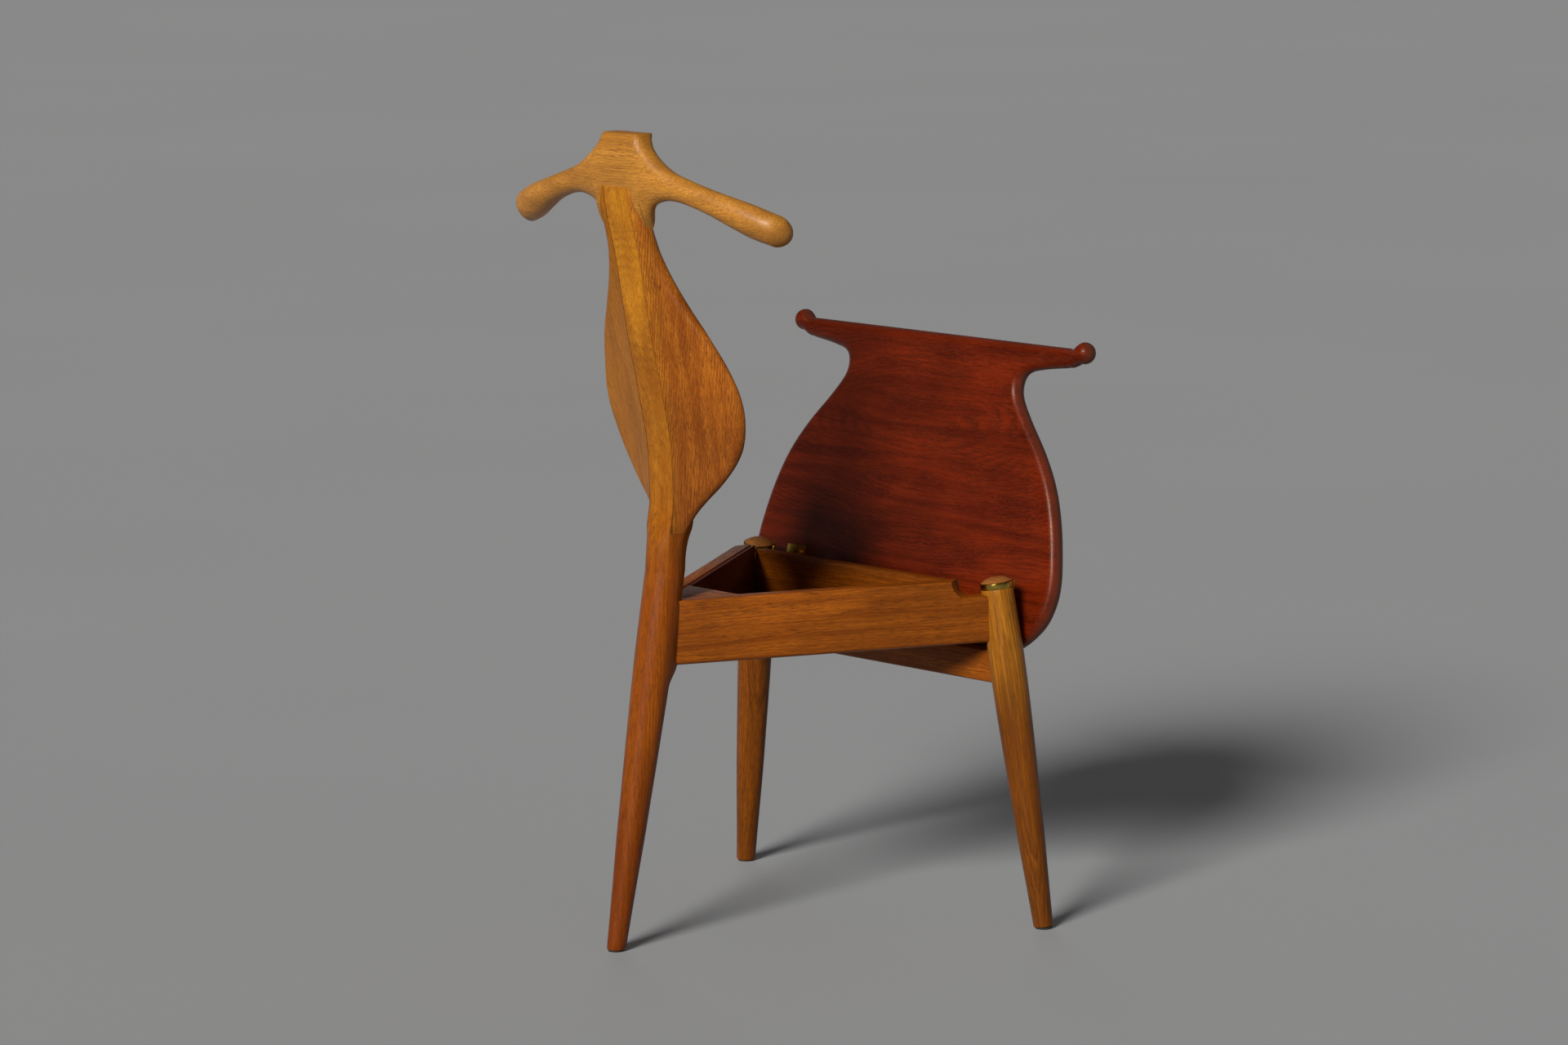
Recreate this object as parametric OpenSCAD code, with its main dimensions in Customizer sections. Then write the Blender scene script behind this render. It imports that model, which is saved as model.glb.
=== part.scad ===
// Clothes valet chair on three legs: a hanger-shaped back carried up from the
// rear leg, a triangular seat frame that holds a storage box, and a lid seat
// that tips up on two brass hinges and carries trousers over its rear bar.
// Units are millimetres. X is the width, +Y the rear, +Z up. The origin lies on
// the floor, in the middle of the whole object as it stands with the seat up.

/* [Overall] */
// Height of the flat top of the hanger
back_top = 950; // [930:1:970]
// Height of the seat frame's top at the front legs
seat_height = 418; // [412:1:424]
// Fall of the seat frame towards the rear, in degrees
seat_fall = 2.2; // [1.4:0.1:3]

/* [Front legs] */
// Distance of the front legs' heads inside the seat's widest line
head_inset = 53.5; // [48:0.5:58]
// How far a front foot stands outside its leg's head
leg_splay = 56; // [48:1:64]
// Distance of the front feet ahead of the origin
front_foot_y = 180.5; // [174:0.5:186]
// Distance of the front legs' heads ahead of the origin
front_head_y = 152.5; // [149:0.5:155]
// Radius of a front leg at the foot
front_foot_r = 11.6; // [10.5:0.1:12.5]
// Greatest radius of a front leg, below the seat frame
front_leg_r = 21.3; // [20:0.1:22]
// Radius of a front leg under its brass ring
front_head_r = 19.3; // [18.5:0.1:20]
// Height of the brass ring
ring_h = 7; // [5:0.5:9]
// Radius of the turned pin that carries the ring and the cap
ring_pin_r = 13; // [10:0.5:15]
// Height of the domed cap above the ring
cap_h = 7; // [5:0.5:9]
// How far the cap stands inside the ring's edge
cap_inset = 0.8; // [0.3:0.1:1.6]

/* [Rear leg and back] */
// Distance of the rear foot behind the origin
rear_foot_y = 265; // [259:1:271]
// Radius of the rear leg at the foot
rear_foot_r = 11.1; // [10.5:0.1:13]
// Greatest radius of the rear leg, at the seat frame
rear_leg_r = 23.2; // [22:0.1:24]
// Height of the leg's bend above the seat frame's top at the front
waist_rise = 22; // [16:1:28]
// Height of the wings' start above the bend
wing_rise = 44; // [40:1:50]
// Half the width of the centre strip between the wings
strip_x = 20.5; // [19:0.1:21]
// Greatest half width of the leaf-shaped back
leaf_x = 115; // [108:0.5:122]
// Half the depth of the centre strip at its top
strip_top_b = 14; // [13:0.1:15]
// Half the thickness of the wings' rounded edge
wing_edge = 6; // [5:0.25:7]
// How far the wings' edge reaches forward of the strip
wing_sweep = 21.5; // [16:0.5:25]
// Half the depth of the haunch below the rails
haunch = 10; // [6:0.5:12]

/* [Hanger] */
// Height of the flat top above the joint of centre strip and hanger
neck_h = 61; // [57:1:65]
// Half the width of the flat top
neck_x = 29; // [27:0.5:31]
// Distance from the middle to the centre of each round tip
tip_x = 207.5; // [200:0.5:216]
// Drop from the flat top to the centre of each round tip
tip_drop = 99.5; // [94:0.5:104]
// Radius of each round tip
tip_r = 19.4; // [18:0.2:21]
// How far the tips sweep forward of the middle
tip_sweep = 31.5; // [24:1:44]
// Length of the tenon that enters the hanger
tenon_l = 22; // [15:1:26]
// Width of that tenon
tenon_w = 24; // [18:1:30]
// Thickness of that tenon
tenon_t = 10; // [8:0.5:12]

/* [Seat frame] */
// Height of a side rail
rail_h = 76; // [72:1:80]
// Thickness of a side rail
rail_t = 17; // [15:0.5:19]
// Distance of a rail's outer face from the line of the legs
rail_out = 11.5; // [10:0.5:12.5]
// Radius of a rail's lower edges
rail_round = 5; // [3:0.5:7]
// Depth of the step in a side rail beside its front leg
step_h = 20; // [15:1:23]
// Length of the ledge along the outer face, from the leg's axis to the hollow
ledge_l = 45; // [39:1:52]
// Length of the hollow itself
hollow_l = 17; // [12:1:22]
// Angle by which the step runs forward on its way inward
step_slant = 32; // [20:1:38]
// Height of the front rail
front_rail_h = 38; // [34:1:42]
// Thickness of the front rail
front_rail_t = 19; // [16:0.5:22]
// Drop of the front rail's lower edge below the seat frame's top
front_rail_drop = 128; // [122:1:134]
// Depth to which a rail's end enters a leg, measured to the leg's axis
rail_end = 8; // [6:0.5:11]

/* [Box] */
// Thickness of the box's front board
box_front_t = 11.5; // [10:0.5:16]
// Distance of that board's inner face behind the front legs' heads
box_front_v = 36; // [33:1:42]
// Distance inside the legs' heads at which that board steps down to the ledges
box_front_in = 30; // [28:1:50]
// How much further in the step lies at the board's front face
box_end_slant = 10; // [0:1:14]
// Drop of that board's top below the rails' top
box_front_drop = 5.5; // [4:0.5:7]
// Thickness of the box's side boards
box_side_t = 5; // [4:0.5:6]
// Thickness of the box's bottom
box_floor_t = 5; // [4:0.5:7]
// Distance of the rear corner blocks' front face behind the front legs' heads
block_v = 262; // [250:1:275]
// Drop of the box's edges below the rails' top
box_drop = 0.8; // [0.4:0.1:2]

/* [Seat] */
// Angle through which the seat is opened
open_angle = 104.6; // [0:0.1:104.6]
// Radius of the seat's rounded edge, which is half its thickness
seat_r = 11; // [10:0.25:12]
// Half the width of the seat at its widest
seat_half = 256.5; // [250:0.5:262]
// Distance from the hinge line to the middle of the trouser bar
bar_u = 289; // [283:0.5:294]
// Distance from the hinge line forward to the seat's front edge
lip_u = 81; // [74:0.5:86]
// Distance of the bar's ball ends inside the seat's widest line
ball_in = 17.5; // [15:0.5:24]
// Radius of each ball end
ball_r = 13; // [12:0.25:14]
// How far the balls stand beyond the bar's middle line
ball_rise = 7.3; // [4:0.1:9]
// Depth of the hollow worked into the seat's upper face
dish_d = 5; // [2:0.5:6]
// Radius of that hollow
dish_r = 125; // [90:5:130]
// Gap between the closed seat and the frame
seat_gap = 0.3; // [0.2:0.1:1]

/* [Hinges] */
// Distance of the hinge line ahead of the front legs' heads
hinge_v = 12; // [10:0.5:13]
// Drop of the hinge line below the frame's top
hinge_drop = 24.5; // [22:0.5:27]
// Distance of each hinge inside its leg's head
hinge_in = 23.5; // [22:0.5:25]
// Width of a hinge plate
plate_w = 33; // [28:0.5:36]
// Length of a hinge plate
plate_l = 24; // [20:0.5:28]
// Thickness of a hinge plate
plate_t = 2.2; // [1.5:0.1:3]
// Thickness of the ear that runs down to the pin
ear_t = 5; // [4:0.5:6]
// Radius of the ear's round end
ear_r = 6.5; // [5.5:0.5:7]
// Radius of the hinge pin
pin_r = 3; // [2.5:0.25:3.5]
// Running clearance between pin and ear, on the radius
pin_fit = 0.05; // [0.03:0.01:0.1]
// Radius of the pin's head and shoulder
pin_head_r = 5.5; // [4.5:0.5:6]
// Thickness of the pin's head
pin_head_t = 2.5; // [2:0.25:3]
// Gap between the ear and the pin's head or shoulder
pin_gap = 0.3; // [0.2:0.1:0.5]
// Depth of the hinge pin in the leg, beyond the leg's face
pin_grip = 11; // [8:1:12]
// Radius of a screw's shank
screw_r = 1.7; // [1.4:0.1:2]
// Radius of a screw's head
screw_head_r = 3.4; // [2.8:0.1:3.8]
// Length of a screw
screw_l = 15; // [12:1:17]
// Distance of each screw from the middle of its plate
screw_x = 10; // [8.5:0.5:11.5]

/* [Feet] */
// Thickness of the pad under each foot
pad_h = 2; // [1:0.5:3]
// How far a pad stands inside the foot's edge
pad_inset = 1.6; // [1:0.2:2.5]

/* [Hidden] */
$fn = 64;

// Places that follow from the sizes above
strip_top_z = back_top - neck_h;
tip_z = back_top - tip_drop;
waist_z = seat_height + waist_rise;
wing_z = waist_z + wing_rise;
front_rail_z = seat_height - front_rail_drop;
front_head_x = seat_half - head_inset;
front_foot_x = front_head_x + leg_splay;
box_front_x = front_head_x - box_front_in;
ball_x = seat_half - ball_in;
hinge_x = front_head_x - hinge_in;

// ---- Smooth curves through hand-set stations -------------------------------

// Row of the table t whose interval holds u
function row(t, u, i = 0) = (i >= len(t) - 2 || u < t[i + 1][0]) ? i : row(t, u, i + 1);

// Slope of column k at station i
function slope(t, i, k) =
  let (a = max(i - 1, 0), b = min(i + 1, len(t) - 1))
  (t[b][k] - t[a][k]) / (t[b][0] - t[a][0]);

// Value of column k at u on the smooth curve through the table
function curve(t, u, k = 1) =
  let (
    i = row(t, u),
    h = t[i + 1][0] - t[i][0],
    f = (u - t[i][0]) / h,
    m0 = slope(t, i, k) * h,
    m1 = slope(t, i + 1, k) * h
  )
  (2 * f ^ 3 - 3 * f ^ 2 + 1) * t[i][k] + (f ^ 3 - 2 * f ^ 2 + f) * m0
  + (3 * f ^ 2 - 2 * f ^ 3) * t[i + 1][k] + (f ^ 3 - f ^ 2) * m1;

// Smooth line through the points p, with n steps between two points
function spline(p, n) = concat(
  [
    for (i = [0:len(p) - 2], s = [0:n - 1])
      let (
        m = len(p) - 1,
        a = p[max(i - 1, 0)],
        b = p[i],
        c = p[i + 1],
        d = p[min(i + 2, m)],
        f = s / n
      )
      (2 * b + (c - a) * f + (2 * a - 5 * b + 4 * c - d) * f ^ 2 + (3 * b - a - 3 * c + d) * f ^ 3) / 2
  ],
  [p[len(p) - 1]]
);

function mix(a, b, f) = a + (b - a) * f;
function ease(f) = let (g = min(max(f, 0), 1)) g * g * (3 - 2 * g);

// Skin over a list of rings that have the same number of points each
module skin(rings) {
  n = len(rings[0]);
  m = len(rings);
  polyhedron(
    points = [for (r = rings) each r],
    faces = concat(
      [[for (i = [0:n - 1]) i]],
      [for (j = [0:m - 2], i = [0:n - 1]) [j * n + i, (j + 1) * n + i, (j + 1) * n + (i + 1) % n]],
      [for (j = [0:m - 2], i = [0:n - 1]) [j * n + i, (j + 1) * n + (i + 1) % n, j * n + (i + 1) % n]],
      [[for (i = [n - 1:-1:0]) (m - 1) * n + i]]
    )
  );
}

// The right half of a pair as it is drawn, the left half mirrored
module on_side(side) {
  mirror([side < 0 ? 1 : 0, 0, 0]) children();
}

// ---- Rear leg and back -----------------------------------------------------

// Drop below the flat top; depth of the hanger's middle plane there
hanger_form = [
  [0, 242.3], [12, 246], [25, 248.3], [45, 248.8], [61, 248.2], [80, 245.7], [100, 241], [125, 234.5]
];
function hanger_y(z) = curve(hanger_form, back_top - z);
// Depth of the leg's axis at the bend
waist_y = 186.5;
// Height of the back above the bend, up to the hanger's joint
back_h = strip_top_z - waist_z;

// Height above the bend; how far the axis lies behind the straight line from
// the bend to the hanger's joint; the strip's half depth
strip_form = [
  [0, 0, 23.2],
  [15, -3, 23],
  [30, -7.1, 22.4],
  [45, -12.5, 21.2],
  [60, -17.1, 18.8],
  [78, -21.3, 17],
  [113, -24.4, 16.2],
  [151, -25.9, 15.8],
  [190, -22.7, 15.4],
  [233, -18.3, 15],
  [267, -13.9, 14.8],
  [305, -11.3, 14.6],
  [345, -9, 14.5],
  [380, -6.2, 14.4],
  [410, -1.7, 14.2],
  [430, 0.1, 14.1],
  [449, 0, 14]
];

// Height above the bend; half width of the wings; how far their edge reaches
// forward of the strip
leaf_form = [
  [0, 23.2, 0],
  [25, 23.3, 0.3],
  [40, 24, 1.6],
  [55, 29.3, 4.4],
  [70, 38.5, 6.6],
  [85, 52.8, 9],
  [100, 68.5, 12.6],
  [115, 82, 16],
  [130, 93.8, 18.3],
  [145, 102.9, 19.8],
  [160, 109, 20.5],
  [175, 113, 21],
  [190, 115, 21.5],
  [205, 114.3, 21.5],
  [220, 111.4, 21],
  [250, 100.8, 18.3],
  [280, 85.6, 13.9],
  [310, 67.9, 8.9],
  [340, 52.2, 4.8],
  [370, 41, 1.2],
  [385, 38.3, 0],
  [400, 37.2, -0.6],
  [420, 37.4, -0.8],
  [449, 46, -1]
];

// Both tables are drawn for a back 449 high above the bend
function back_u(z) = (z - waist_z) * 449 / back_h;
function back_share(z) = (z - waist_z) / back_h;
function axis_y(z) =
  z <= waist_z
  ? mix(rear_foot_y, waist_y, z / waist_z)
  : mix(waist_y, hanger_y(strip_top_z), back_share(z)) + curve(strip_form, back_u(z), 1);
function strip_b(z) =
  let (b = curve(strip_form, back_u(z), 2))
  strip_top_b + (b - 14) * (rear_leg_r - strip_top_b) / 9.2;
function leaf_w(z) =
  let (w = curve(leaf_form, back_u(z), 1))
  w < 37 ? w * rear_leg_r / 23.2 : mix(w * rear_leg_r / 23.2, w * leaf_x / 115, min((w - 37) / 30, 1));
function leaf_s(z) = curve(leaf_form, back_u(z), 2) * wing_sweep / 21.5;

// Half thickness of the back at the distance x from the middle, at height z:
// round like the leg at the bend, a thick strip with thin wings above it
wing_blunt = 0.6;
function edge_e(z) = mix(wing_edge, strip_b(z), ease((back_share(z) - 0.5) / 0.38));
function leaf_round(x, z) = strip_b(z) * sqrt(max(1 - (x / leaf_w(z)) ^ 2, 0));
function half_t(x, z) =
  let (
    w = leaf_w(z),
    b = strip_b(z),
    e = min(edge_e(z), w - 14),
    t = max(x - strip_x, 0) / max(w - strip_x, 1),
    flat = mix(min(e, b), b, (1 - min(t, 1)) ^ 3.2) - 0.8 * min(x / strip_x, 1) ^ 2,
    rim = x > w - e ? sqrt(max(1 - ((x - w + e) / e) ^ 2, 0)) : 1
  )
  max(mix(leaf_round(x, z), flat * rim, ease((back_share(z) - 0.02) / 0.16)), wing_blunt);
// Half thickness towards the front, where the slender neck of the back is round
function half_front(x, z) =
  max(mix(half_t(x, z), leaf_round(x, z), ease((back_share(z) - 0.6) / 0.25)), wing_blunt);
// Depth of the middle surface there
function mid_y(x, z) =
  let (t = max(x - strip_x, 0) / max(leaf_w(z) - strip_x, 1))
  axis_y(z) - leaf_s(z) * min(t, 1) ^ 1.5;

// Radius of the rear leg below the bend
rear_form = [
  [0, 0], [0.114, 0.165], [0.205, 0.305], [0.295, 0.455], [0.386, 0.56], [0.477, 0.67],
  [0.568, 0.77], [0.66, 0.868], [0.77, 0.96], [0.91, 1], [1, 1]
];
function rear_r(z) = mix(rear_foot_r, rear_leg_r, curve(rear_form, z / waist_z));
// Extra depth in front of the leg under and behind the rails
function haunch_y(z) =
  z > frame_z(axis_y(seat_height)) - 2 ? 0 : haunch * ease((z - front_rail_z - 3) / 32);

leg_sides = 28;
function leg_ring(z) = [
  for (i = [0:leg_sides - 1])
    let (a = i * 360 / leg_sides, r = rear_r(z), dy = r * sin(a))
    [r * cos(a), axis_y(z) + dy + (dy < 0 ? haunch_y(z) * dy / r : 0), z]
];

// Between bend and wings the section turns from round to flat
function bend_ring(z) = [
  for (i = [0:leg_sides - 1])
    let (
      a = i * 360 / leg_sides,
      x = leaf_w(z) * cos(a),
      dy = sin(a) > 0 ? half_t(abs(x), z) : -half_front(abs(x), z)
    )
    [x, mid_y(abs(x), z) + (abs(sin(a)) < 0.01 ? 0 : dy), z]
];

// The strip's ring has the points of the leg's ring, drawn in to its sides,
// which are planed a trace hollow of the wings towards their edges
side_crown = 0.06;
function strip_ring(z) = [
  for (i = [0:leg_sides - 1])
    let (
      a = i * 360 / leg_sides,
      x = max(min(rear_leg_r * cos(a), strip_x), -strip_x),
      inner = abs(rear_leg_r * cos(a)) < strip_x,
      full = sin(a) > 0 ? half_t(abs(x), z) : half_front(abs(x), z),
      side = sin(a) / sin(acos(strip_x / rear_leg_r))
    )
    [inner ? x : x - sign(x) * side_crown * side ^ 2, axis_y(z) + full * (inner ? sign(sin(a)) : side), z]
];

leg_steps = [
  for (i = [0:9]) pad_h + (front_rail_z - pad_h) * i / 9,
  for (i = [1:6]) front_rail_z + 6.5 * i,
  frame_z(axis_y(seat_height)) - 2.01,
  frame_z(axis_y(seat_height)) - 1.99,
  mix(frame_z(axis_y(seat_height)), waist_z, 0.5),
  waist_z
];
bend_steps = [for (i = [1:4]) mix(waist_z, wing_z, i / 4)];
strip_steps = [for (i = [0:28]) wing_z + (i == 0 ? 0.3 : (strip_top_z - wing_z) * i / 28)];

module rear_blank() {
  skin([
    for (z = leg_steps) leg_ring(z),
    for (z = bend_steps) bend_ring(z),
    for (z = strip_steps) strip_ring(z)
  ]);
}

module hanger_tenon() {
  z = strip_top_z + tenon_l / 2;
  translate([-tenon_w / 2, hanger_y(z) - tenon_t / 2, strip_top_z])
    cube([tenon_w, tenon_t, tenon_l]);
}

module rear_leg() color("#b9792f") {
  difference() {
    rear_blank();
    for (side = [-1, 1]) {
      rail_blank(side);
      block_blank(side);
    }
  }
  hanger_tenon();
}

// The line along which a wing meets the hanger runs down and outward
joint_in = 2.5;
joint_low_x = 36.8;
joint_drop = 47;
joint_low_z = strip_top_z - joint_drop;
// Glue line between wing and hanger
joint_fit = 0.03;
function joint_x(z) = mix(joint_low_x, strip_x + joint_in, (z - joint_low_z) / (strip_top_z - joint_low_z));
function joint_z(x) =
  mix(strip_top_z, joint_low_z, (x - strip_x - joint_in) / (joint_low_x - strip_x - joint_in));

wing_cols = 9;
function wing_ring(z) =
  let (
    w = z >= joint_low_z ? min(joint_x(z), leaf_w(z)) : leaf_w(z),
    xs = [for (j = [0:wing_cols]) strip_x + (w - strip_x) * sin(90 * j / wing_cols)]
  )
  concat(
    [for (x = xs) [x, mid_y(x, z) + half_t(x, z), z]],
    [for (j = [wing_cols:-1:0]) [xs[j], mid_y(xs[j], z) - half_front(xs[j], z), z]]
  );

wing_steps = concat(
  [for (i = [0:26]) mix(wing_z + 0.3, joint_low_z, i / 26)],
  [for (i = [1:4]) mix(joint_low_z, strip_top_z, i / 4)]
);

module back_wing(side) color("#a9682a") on_side(side) {
  skin([for (i = [len(wing_steps) - 1:-1:0]) wing_ring(wing_steps[i])]);
}

// ---- Hanger ----------------------------------------------------------------

// Distance from the middle; height of the upper and the lower outline below the
// flat top; half the depth
arm_form = [
  [29, 0, 61, 13.4],
  [32.5, 4.5, 70, 13.4],
  [37, 9.5, 102, 13.4],
  [39, 12, 95, 13.3],
  [42, 15.2, 89.5, 13.2],
  [46, 19.2, 83.5, 13.1],
  [52, 24.4, 79, 13],
  [66, 34, 74.5, 13],
  [80, 40.8, 73.5, 13],
  [100, 47.4, 76.6, 13],
  [130, 56.2, 86, 14.3],
  [160, 64.2, 99.5, 16.4],
  [185, 71, 110.8, 18.3],
  [208.5, 79.1, 117.9, 19.4]
];
// The table is drawn for tips 208.5 out and 98.5 below the flat top
function arm_u(x) = x < neck_x ? x : 29 + (x - neck_x) * 179.5 / (tip_x - neck_x);
function arm_top(x) =
  x <= neck_x ? back_top : back_top - curve(arm_form, arm_u(x), 1) * (tip_drop - tip_r) / 79.1;
function arm_low(x) = back_top - curve(arm_form, arm_u(x), 2) * (tip_drop + tip_r) / 117.9;
function arm_b(x) =
  curve(arm_form, max(arm_u(x), 29), 3) * mix(strip_top_b / 14, tip_r / 19.4, min(x / tip_x, 1));

// Ring of the hanger at x: two stacks of points from the lower to the upper
// outline, flat below where it meets the strip or a wing
arm_rows = 9;
function arm_side(s, low, mid, top, p) =
  let (u = abs(s - 0.5) * 2)
  s < 0.5 ? mix(low, mid, (1 - u ^ 2) ^ 0.5) : mix(top, mid, (1 - u ^ p) ^ 0.5);
// Half depth of the flat top, with rounded corners
neck_round = 4;
function neck_b(x) =
  let (c = max(x - neck_x + neck_round, 0))
  strip_top_b - 1.5 - neck_round + sqrt(max(neck_round ^ 2 - c ^ 2, 0));
function hanger_ring(x) =
  let (
    ax = abs(x),
    tip = ax > tip_x,
    cap = tip ? sqrt(max(tip_r ^ 2 - (ax - tip_x) ^ 2, 9)) : 0,
    z1 = tip ? tip_z + cap : arm_top(ax),
    flat_z = ax <= strip_x + joint_in ? strip_top_z : joint_z(ax) + joint_fit,
    z0 = tip ? tip_z - cap : ax < joint_low_x ? flat_z : arm_low(ax),
    b = tip ? cap : arm_b(ax),
    join = ax < joint_low_x,
    b0 = join ? half_t(ax, z0) : 1.2,
    f0 = join ? half_front(ax, z0) : 1.2,
    b1 = ax <= neck_x ? neck_b(ax) : mix(7, 1.2, ease((ax - neck_x) / 12)),
    p1 = ax <= neck_x ? 14 : mix(6, 2, ease((ax - neck_x) / 60)),
    y0 = -tip_sweep * (ax / tip_x) ^ 2,
    joint_y = join ? mid_y(ax, z0) - hanger_y(z0) - y0 : 0
  )
  concat(
    [
      for (i = [0:arm_rows])
        let (s = (1 - cos(180 * i / arm_rows)) / 2, z = mix(z0, z1, s))
        [x, hanger_y(z) + y0 + joint_y * (1 - ease(2 * s)) + arm_side(s, b0, b, b1, p1), z]
    ],
    [
      for (i = [arm_rows:-1:0])
        let (s = (1 - cos(180 * i / arm_rows)) / 2, z = mix(z0, z1, s))
        [x, hanger_y(z) + y0 + joint_y * (1 - ease(2 * s)) - arm_side(s, f0, b, b1, p1), z]
    ]
  );

half_steps = concat(
  [0.01, strip_x * 0.5, strip_x, strip_x + joint_in, neck_x - 3, neck_x - 1, neck_x, neck_x + 1],
  [neck_x + 2.5, neck_x + 5, joint_low_x - 0.02, joint_low_x + 0.5],
  [39, 42, 46, 51, 57, 65, 76, 88, 102, 118, 134, 150, 166, 180, 194, tip_x - 2],
  [for (a = [12, 26, 40, 54, 66, 77]) tip_x + tip_r * sin(a)]
);

module hanger_blank() {
  n = len(half_steps) - 1;
  skin([
    for (i = [n:-1:1]) hanger_ring(-half_steps[i]),
    for (i = [0:n]) hanger_ring(i == 0 ? 0 : half_steps[i])
  ]);
}

module coat_hanger() color("#bb7a30") {
  difference() {
    hanger_blank();
    hanger_tenon();
  }
}

// ---- Front legs ------------------------------------------------------------

// Direction of a front leg, from foot to head
leg_run = [front_head_x - front_foot_x, front_foot_y - front_head_y, seat_height];
leg_len = norm(leg_run);
// Place of the right leg's axis at the height z
function leg_at(z) = [front_foot_x, -front_foot_y, 0] + leg_run * z / seat_height;

// The right front leg's own axis as +Z, from the floor
module along_leg() {
  translate([front_foot_x, -front_foot_y, 0])
    rotate([0, acos(leg_run[2] / leg_len), atan2(leg_run[1], leg_run[0])])
      children();
}

ring_base = leg_len - cap_h - ring_h;
leg_form = [
  [0, 0], [0.09, 0.14], [0.18, 0.31], [0.27, 0.48], [0.36, 0.605], [0.45, 0.715], [0.54, 0.825],
  [0.63, 0.925], [0.72, 0.985], [0.82, 1], [1, 1]
];
function front_r(f) =
  mix(front_foot_r, front_leg_r, curve(leg_form, f))
  - (front_leg_r - front_head_r) * ease((f - 0.78) / 0.22);
leg_profile = concat(
  [[0, -6]],
  [for (i = [0:14]) [front_r(i / 14), i == 0 ? -6 : ring_base * i / 14]],
  [[ring_pin_r, ring_base], [ring_pin_r, leg_len - 4], [0, leg_len - 4]]
);

module front_leg(side) color("#b57a34") on_side(side) {
  difference() {
    along_leg() rotate([0, 0, 180]) rotate_extrude() polygon(leg_profile);
    translate([front_foot_x, -front_foot_y, pad_h - 4 * front_foot_r])
      linear_extrude(4 * front_foot_r) square(8 * front_foot_r, center = true);
    rail_blank(1);
    front_rail_blank();
    hinge_pin_blank();
  }
}

module leg_ring_part(side) color("#c9a94a") on_side(side) along_leg() {
  translate([0, 0, ring_base]) difference() {
    cylinder(r = front_head_r + 0.3, h = ring_h);
    translate([0, 0, -1]) cylinder(r = ring_pin_r, h = ring_h + 2);
  }
}

module leg_cap(side) color("#a8702f") on_side(side) along_leg() {
  r = front_head_r + 0.3 - cap_inset;
  dome = (r ^ 2 + cap_h ^ 2) / (2 * cap_h);
  translate([0, 0, leg_len - cap_h]) difference() {
    intersection() {
      cylinder(r = r, h = cap_h);
      translate([0, 0, cap_h - dome]) sphere(r = dome, $fn = 96);
    }
    translate([0, 0, -1]) cylinder(r = ring_pin_r, h = cap_h - 4 + 1);
  }
}

module foot_pads() color("#2b2a28") {
  for (side = [-1, 1]) on_side(side)
    translate([front_foot_x, -front_foot_y, 0]) cylinder(r = front_foot_r - pad_inset, h = pad_h);
  translate([0, rear_foot_y, 0]) cylinder(r = rear_foot_r - pad_inset, h = pad_h);
}

// ---- Seat frame ------------------------------------------------------------

// The frame's own plane: V runs to the rear from the front legs' heads and
// falls with the seat, the third axis is 0 at the rails' top
module on_frame() {
  translate([0, -front_head_y, seat_height]) rotate([-seat_fall, 0, 0]) children();
}
// Height of the frame's top at the depth y
function frame_z(y) = seat_height - (y + front_head_y) * tan(seat_fall);

// The rails' middle lines cross the axes of the legs at half the rails' height
rail_mid = leg_at(seat_height - rail_h / 2);
rail_x0 = rail_mid[0];
rail_v0 = rail_mid[1] + front_head_y;
apex_z = frame_z(axis_y(seat_height)) - rail_h / 2;
apex_v = axis_y(apex_z) + front_head_y;
rail_angle = atan2(rail_x0, apex_v - rail_v0);
rail_run = norm([rail_x0, apex_v - rail_v0]);
// Distance of the line a rail's face lies on from the middle plane, at V
function rail_x(v, off) = rail_x0 - (v - rail_v0) * tan(rail_angle) + off / cos(rail_angle);
rail_in = rail_out - rail_t;
// Where the two rails' inner faces leave room for their ends in the rear leg
rail_stop = rail_run - (rail_t - rail_out) / tan(rail_angle) - 4;

module along_rail() {
  on_frame() translate([rail_x0, rail_v0, 0]) rotate([0, 0, rail_angle]) children();
}

// Bar section, w wide and h deep below the origin, with round lower edges
module bar_section(w, h, r) {
  difference() {
    translate([-w / 2, -h]) square([w, h]);
    for (m = [0, 1]) mirror([m, 0]) translate([w / 2 - r, -h]) difference() {
      square([r + 1, r]);
      translate([0, r]) circle(r = r);
    }
  }
}

module step_cut() {
  top = ledge_l + hollow_l;
  translate([rail_out, top, 0]) rotate([0, 0, step_slant])
    translate([-3 * rail_t, -top, 0]) rotate([90, 0, 90]) linear_extrude(6 * rail_t)
      polygon(concat(
        [[-top, 1], [-top, -step_h], [ledge_l, -step_h]],
        [for (i = [1:8]) let (a = 90 * i / 8) [ledge_l + hollow_l * sin(a), -step_h * cos(a)]],
        [[top, 1]]
      ));
}

module rail_blank(side) {
  on_side(side) along_rail() difference() {
    translate([rail_out - rail_t / 2, rail_end, 0]) rotate([90, 0, 180])
      linear_extrude(rail_stop - rail_end) bar_section(rail_t, rail_h, rail_round);
    step_cut();
  }
}

module side_rail(side) color("#bd8138") rail_blank(side);

module front_rail_blank() {
  at = leg_at(front_rail_z + front_rail_h / 2);
  half = at[0] - rail_end;
  translate([-half, at[1], front_rail_z + front_rail_h]) rotate([90, 0, 90])
    linear_extrude(2 * half) bar_section(front_rail_t, front_rail_h, 4);
}

module front_rail() color("#a9712f") front_rail_blank();

// ---- Storage box -----------------------------------------------------------

// Flat board in the frame's plane from z0 up to z1
module frame_board(points, z0, z1) {
  on_frame() translate([0, 0, z0]) linear_extrude(z1 - z0) polygon(points);
}

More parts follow.
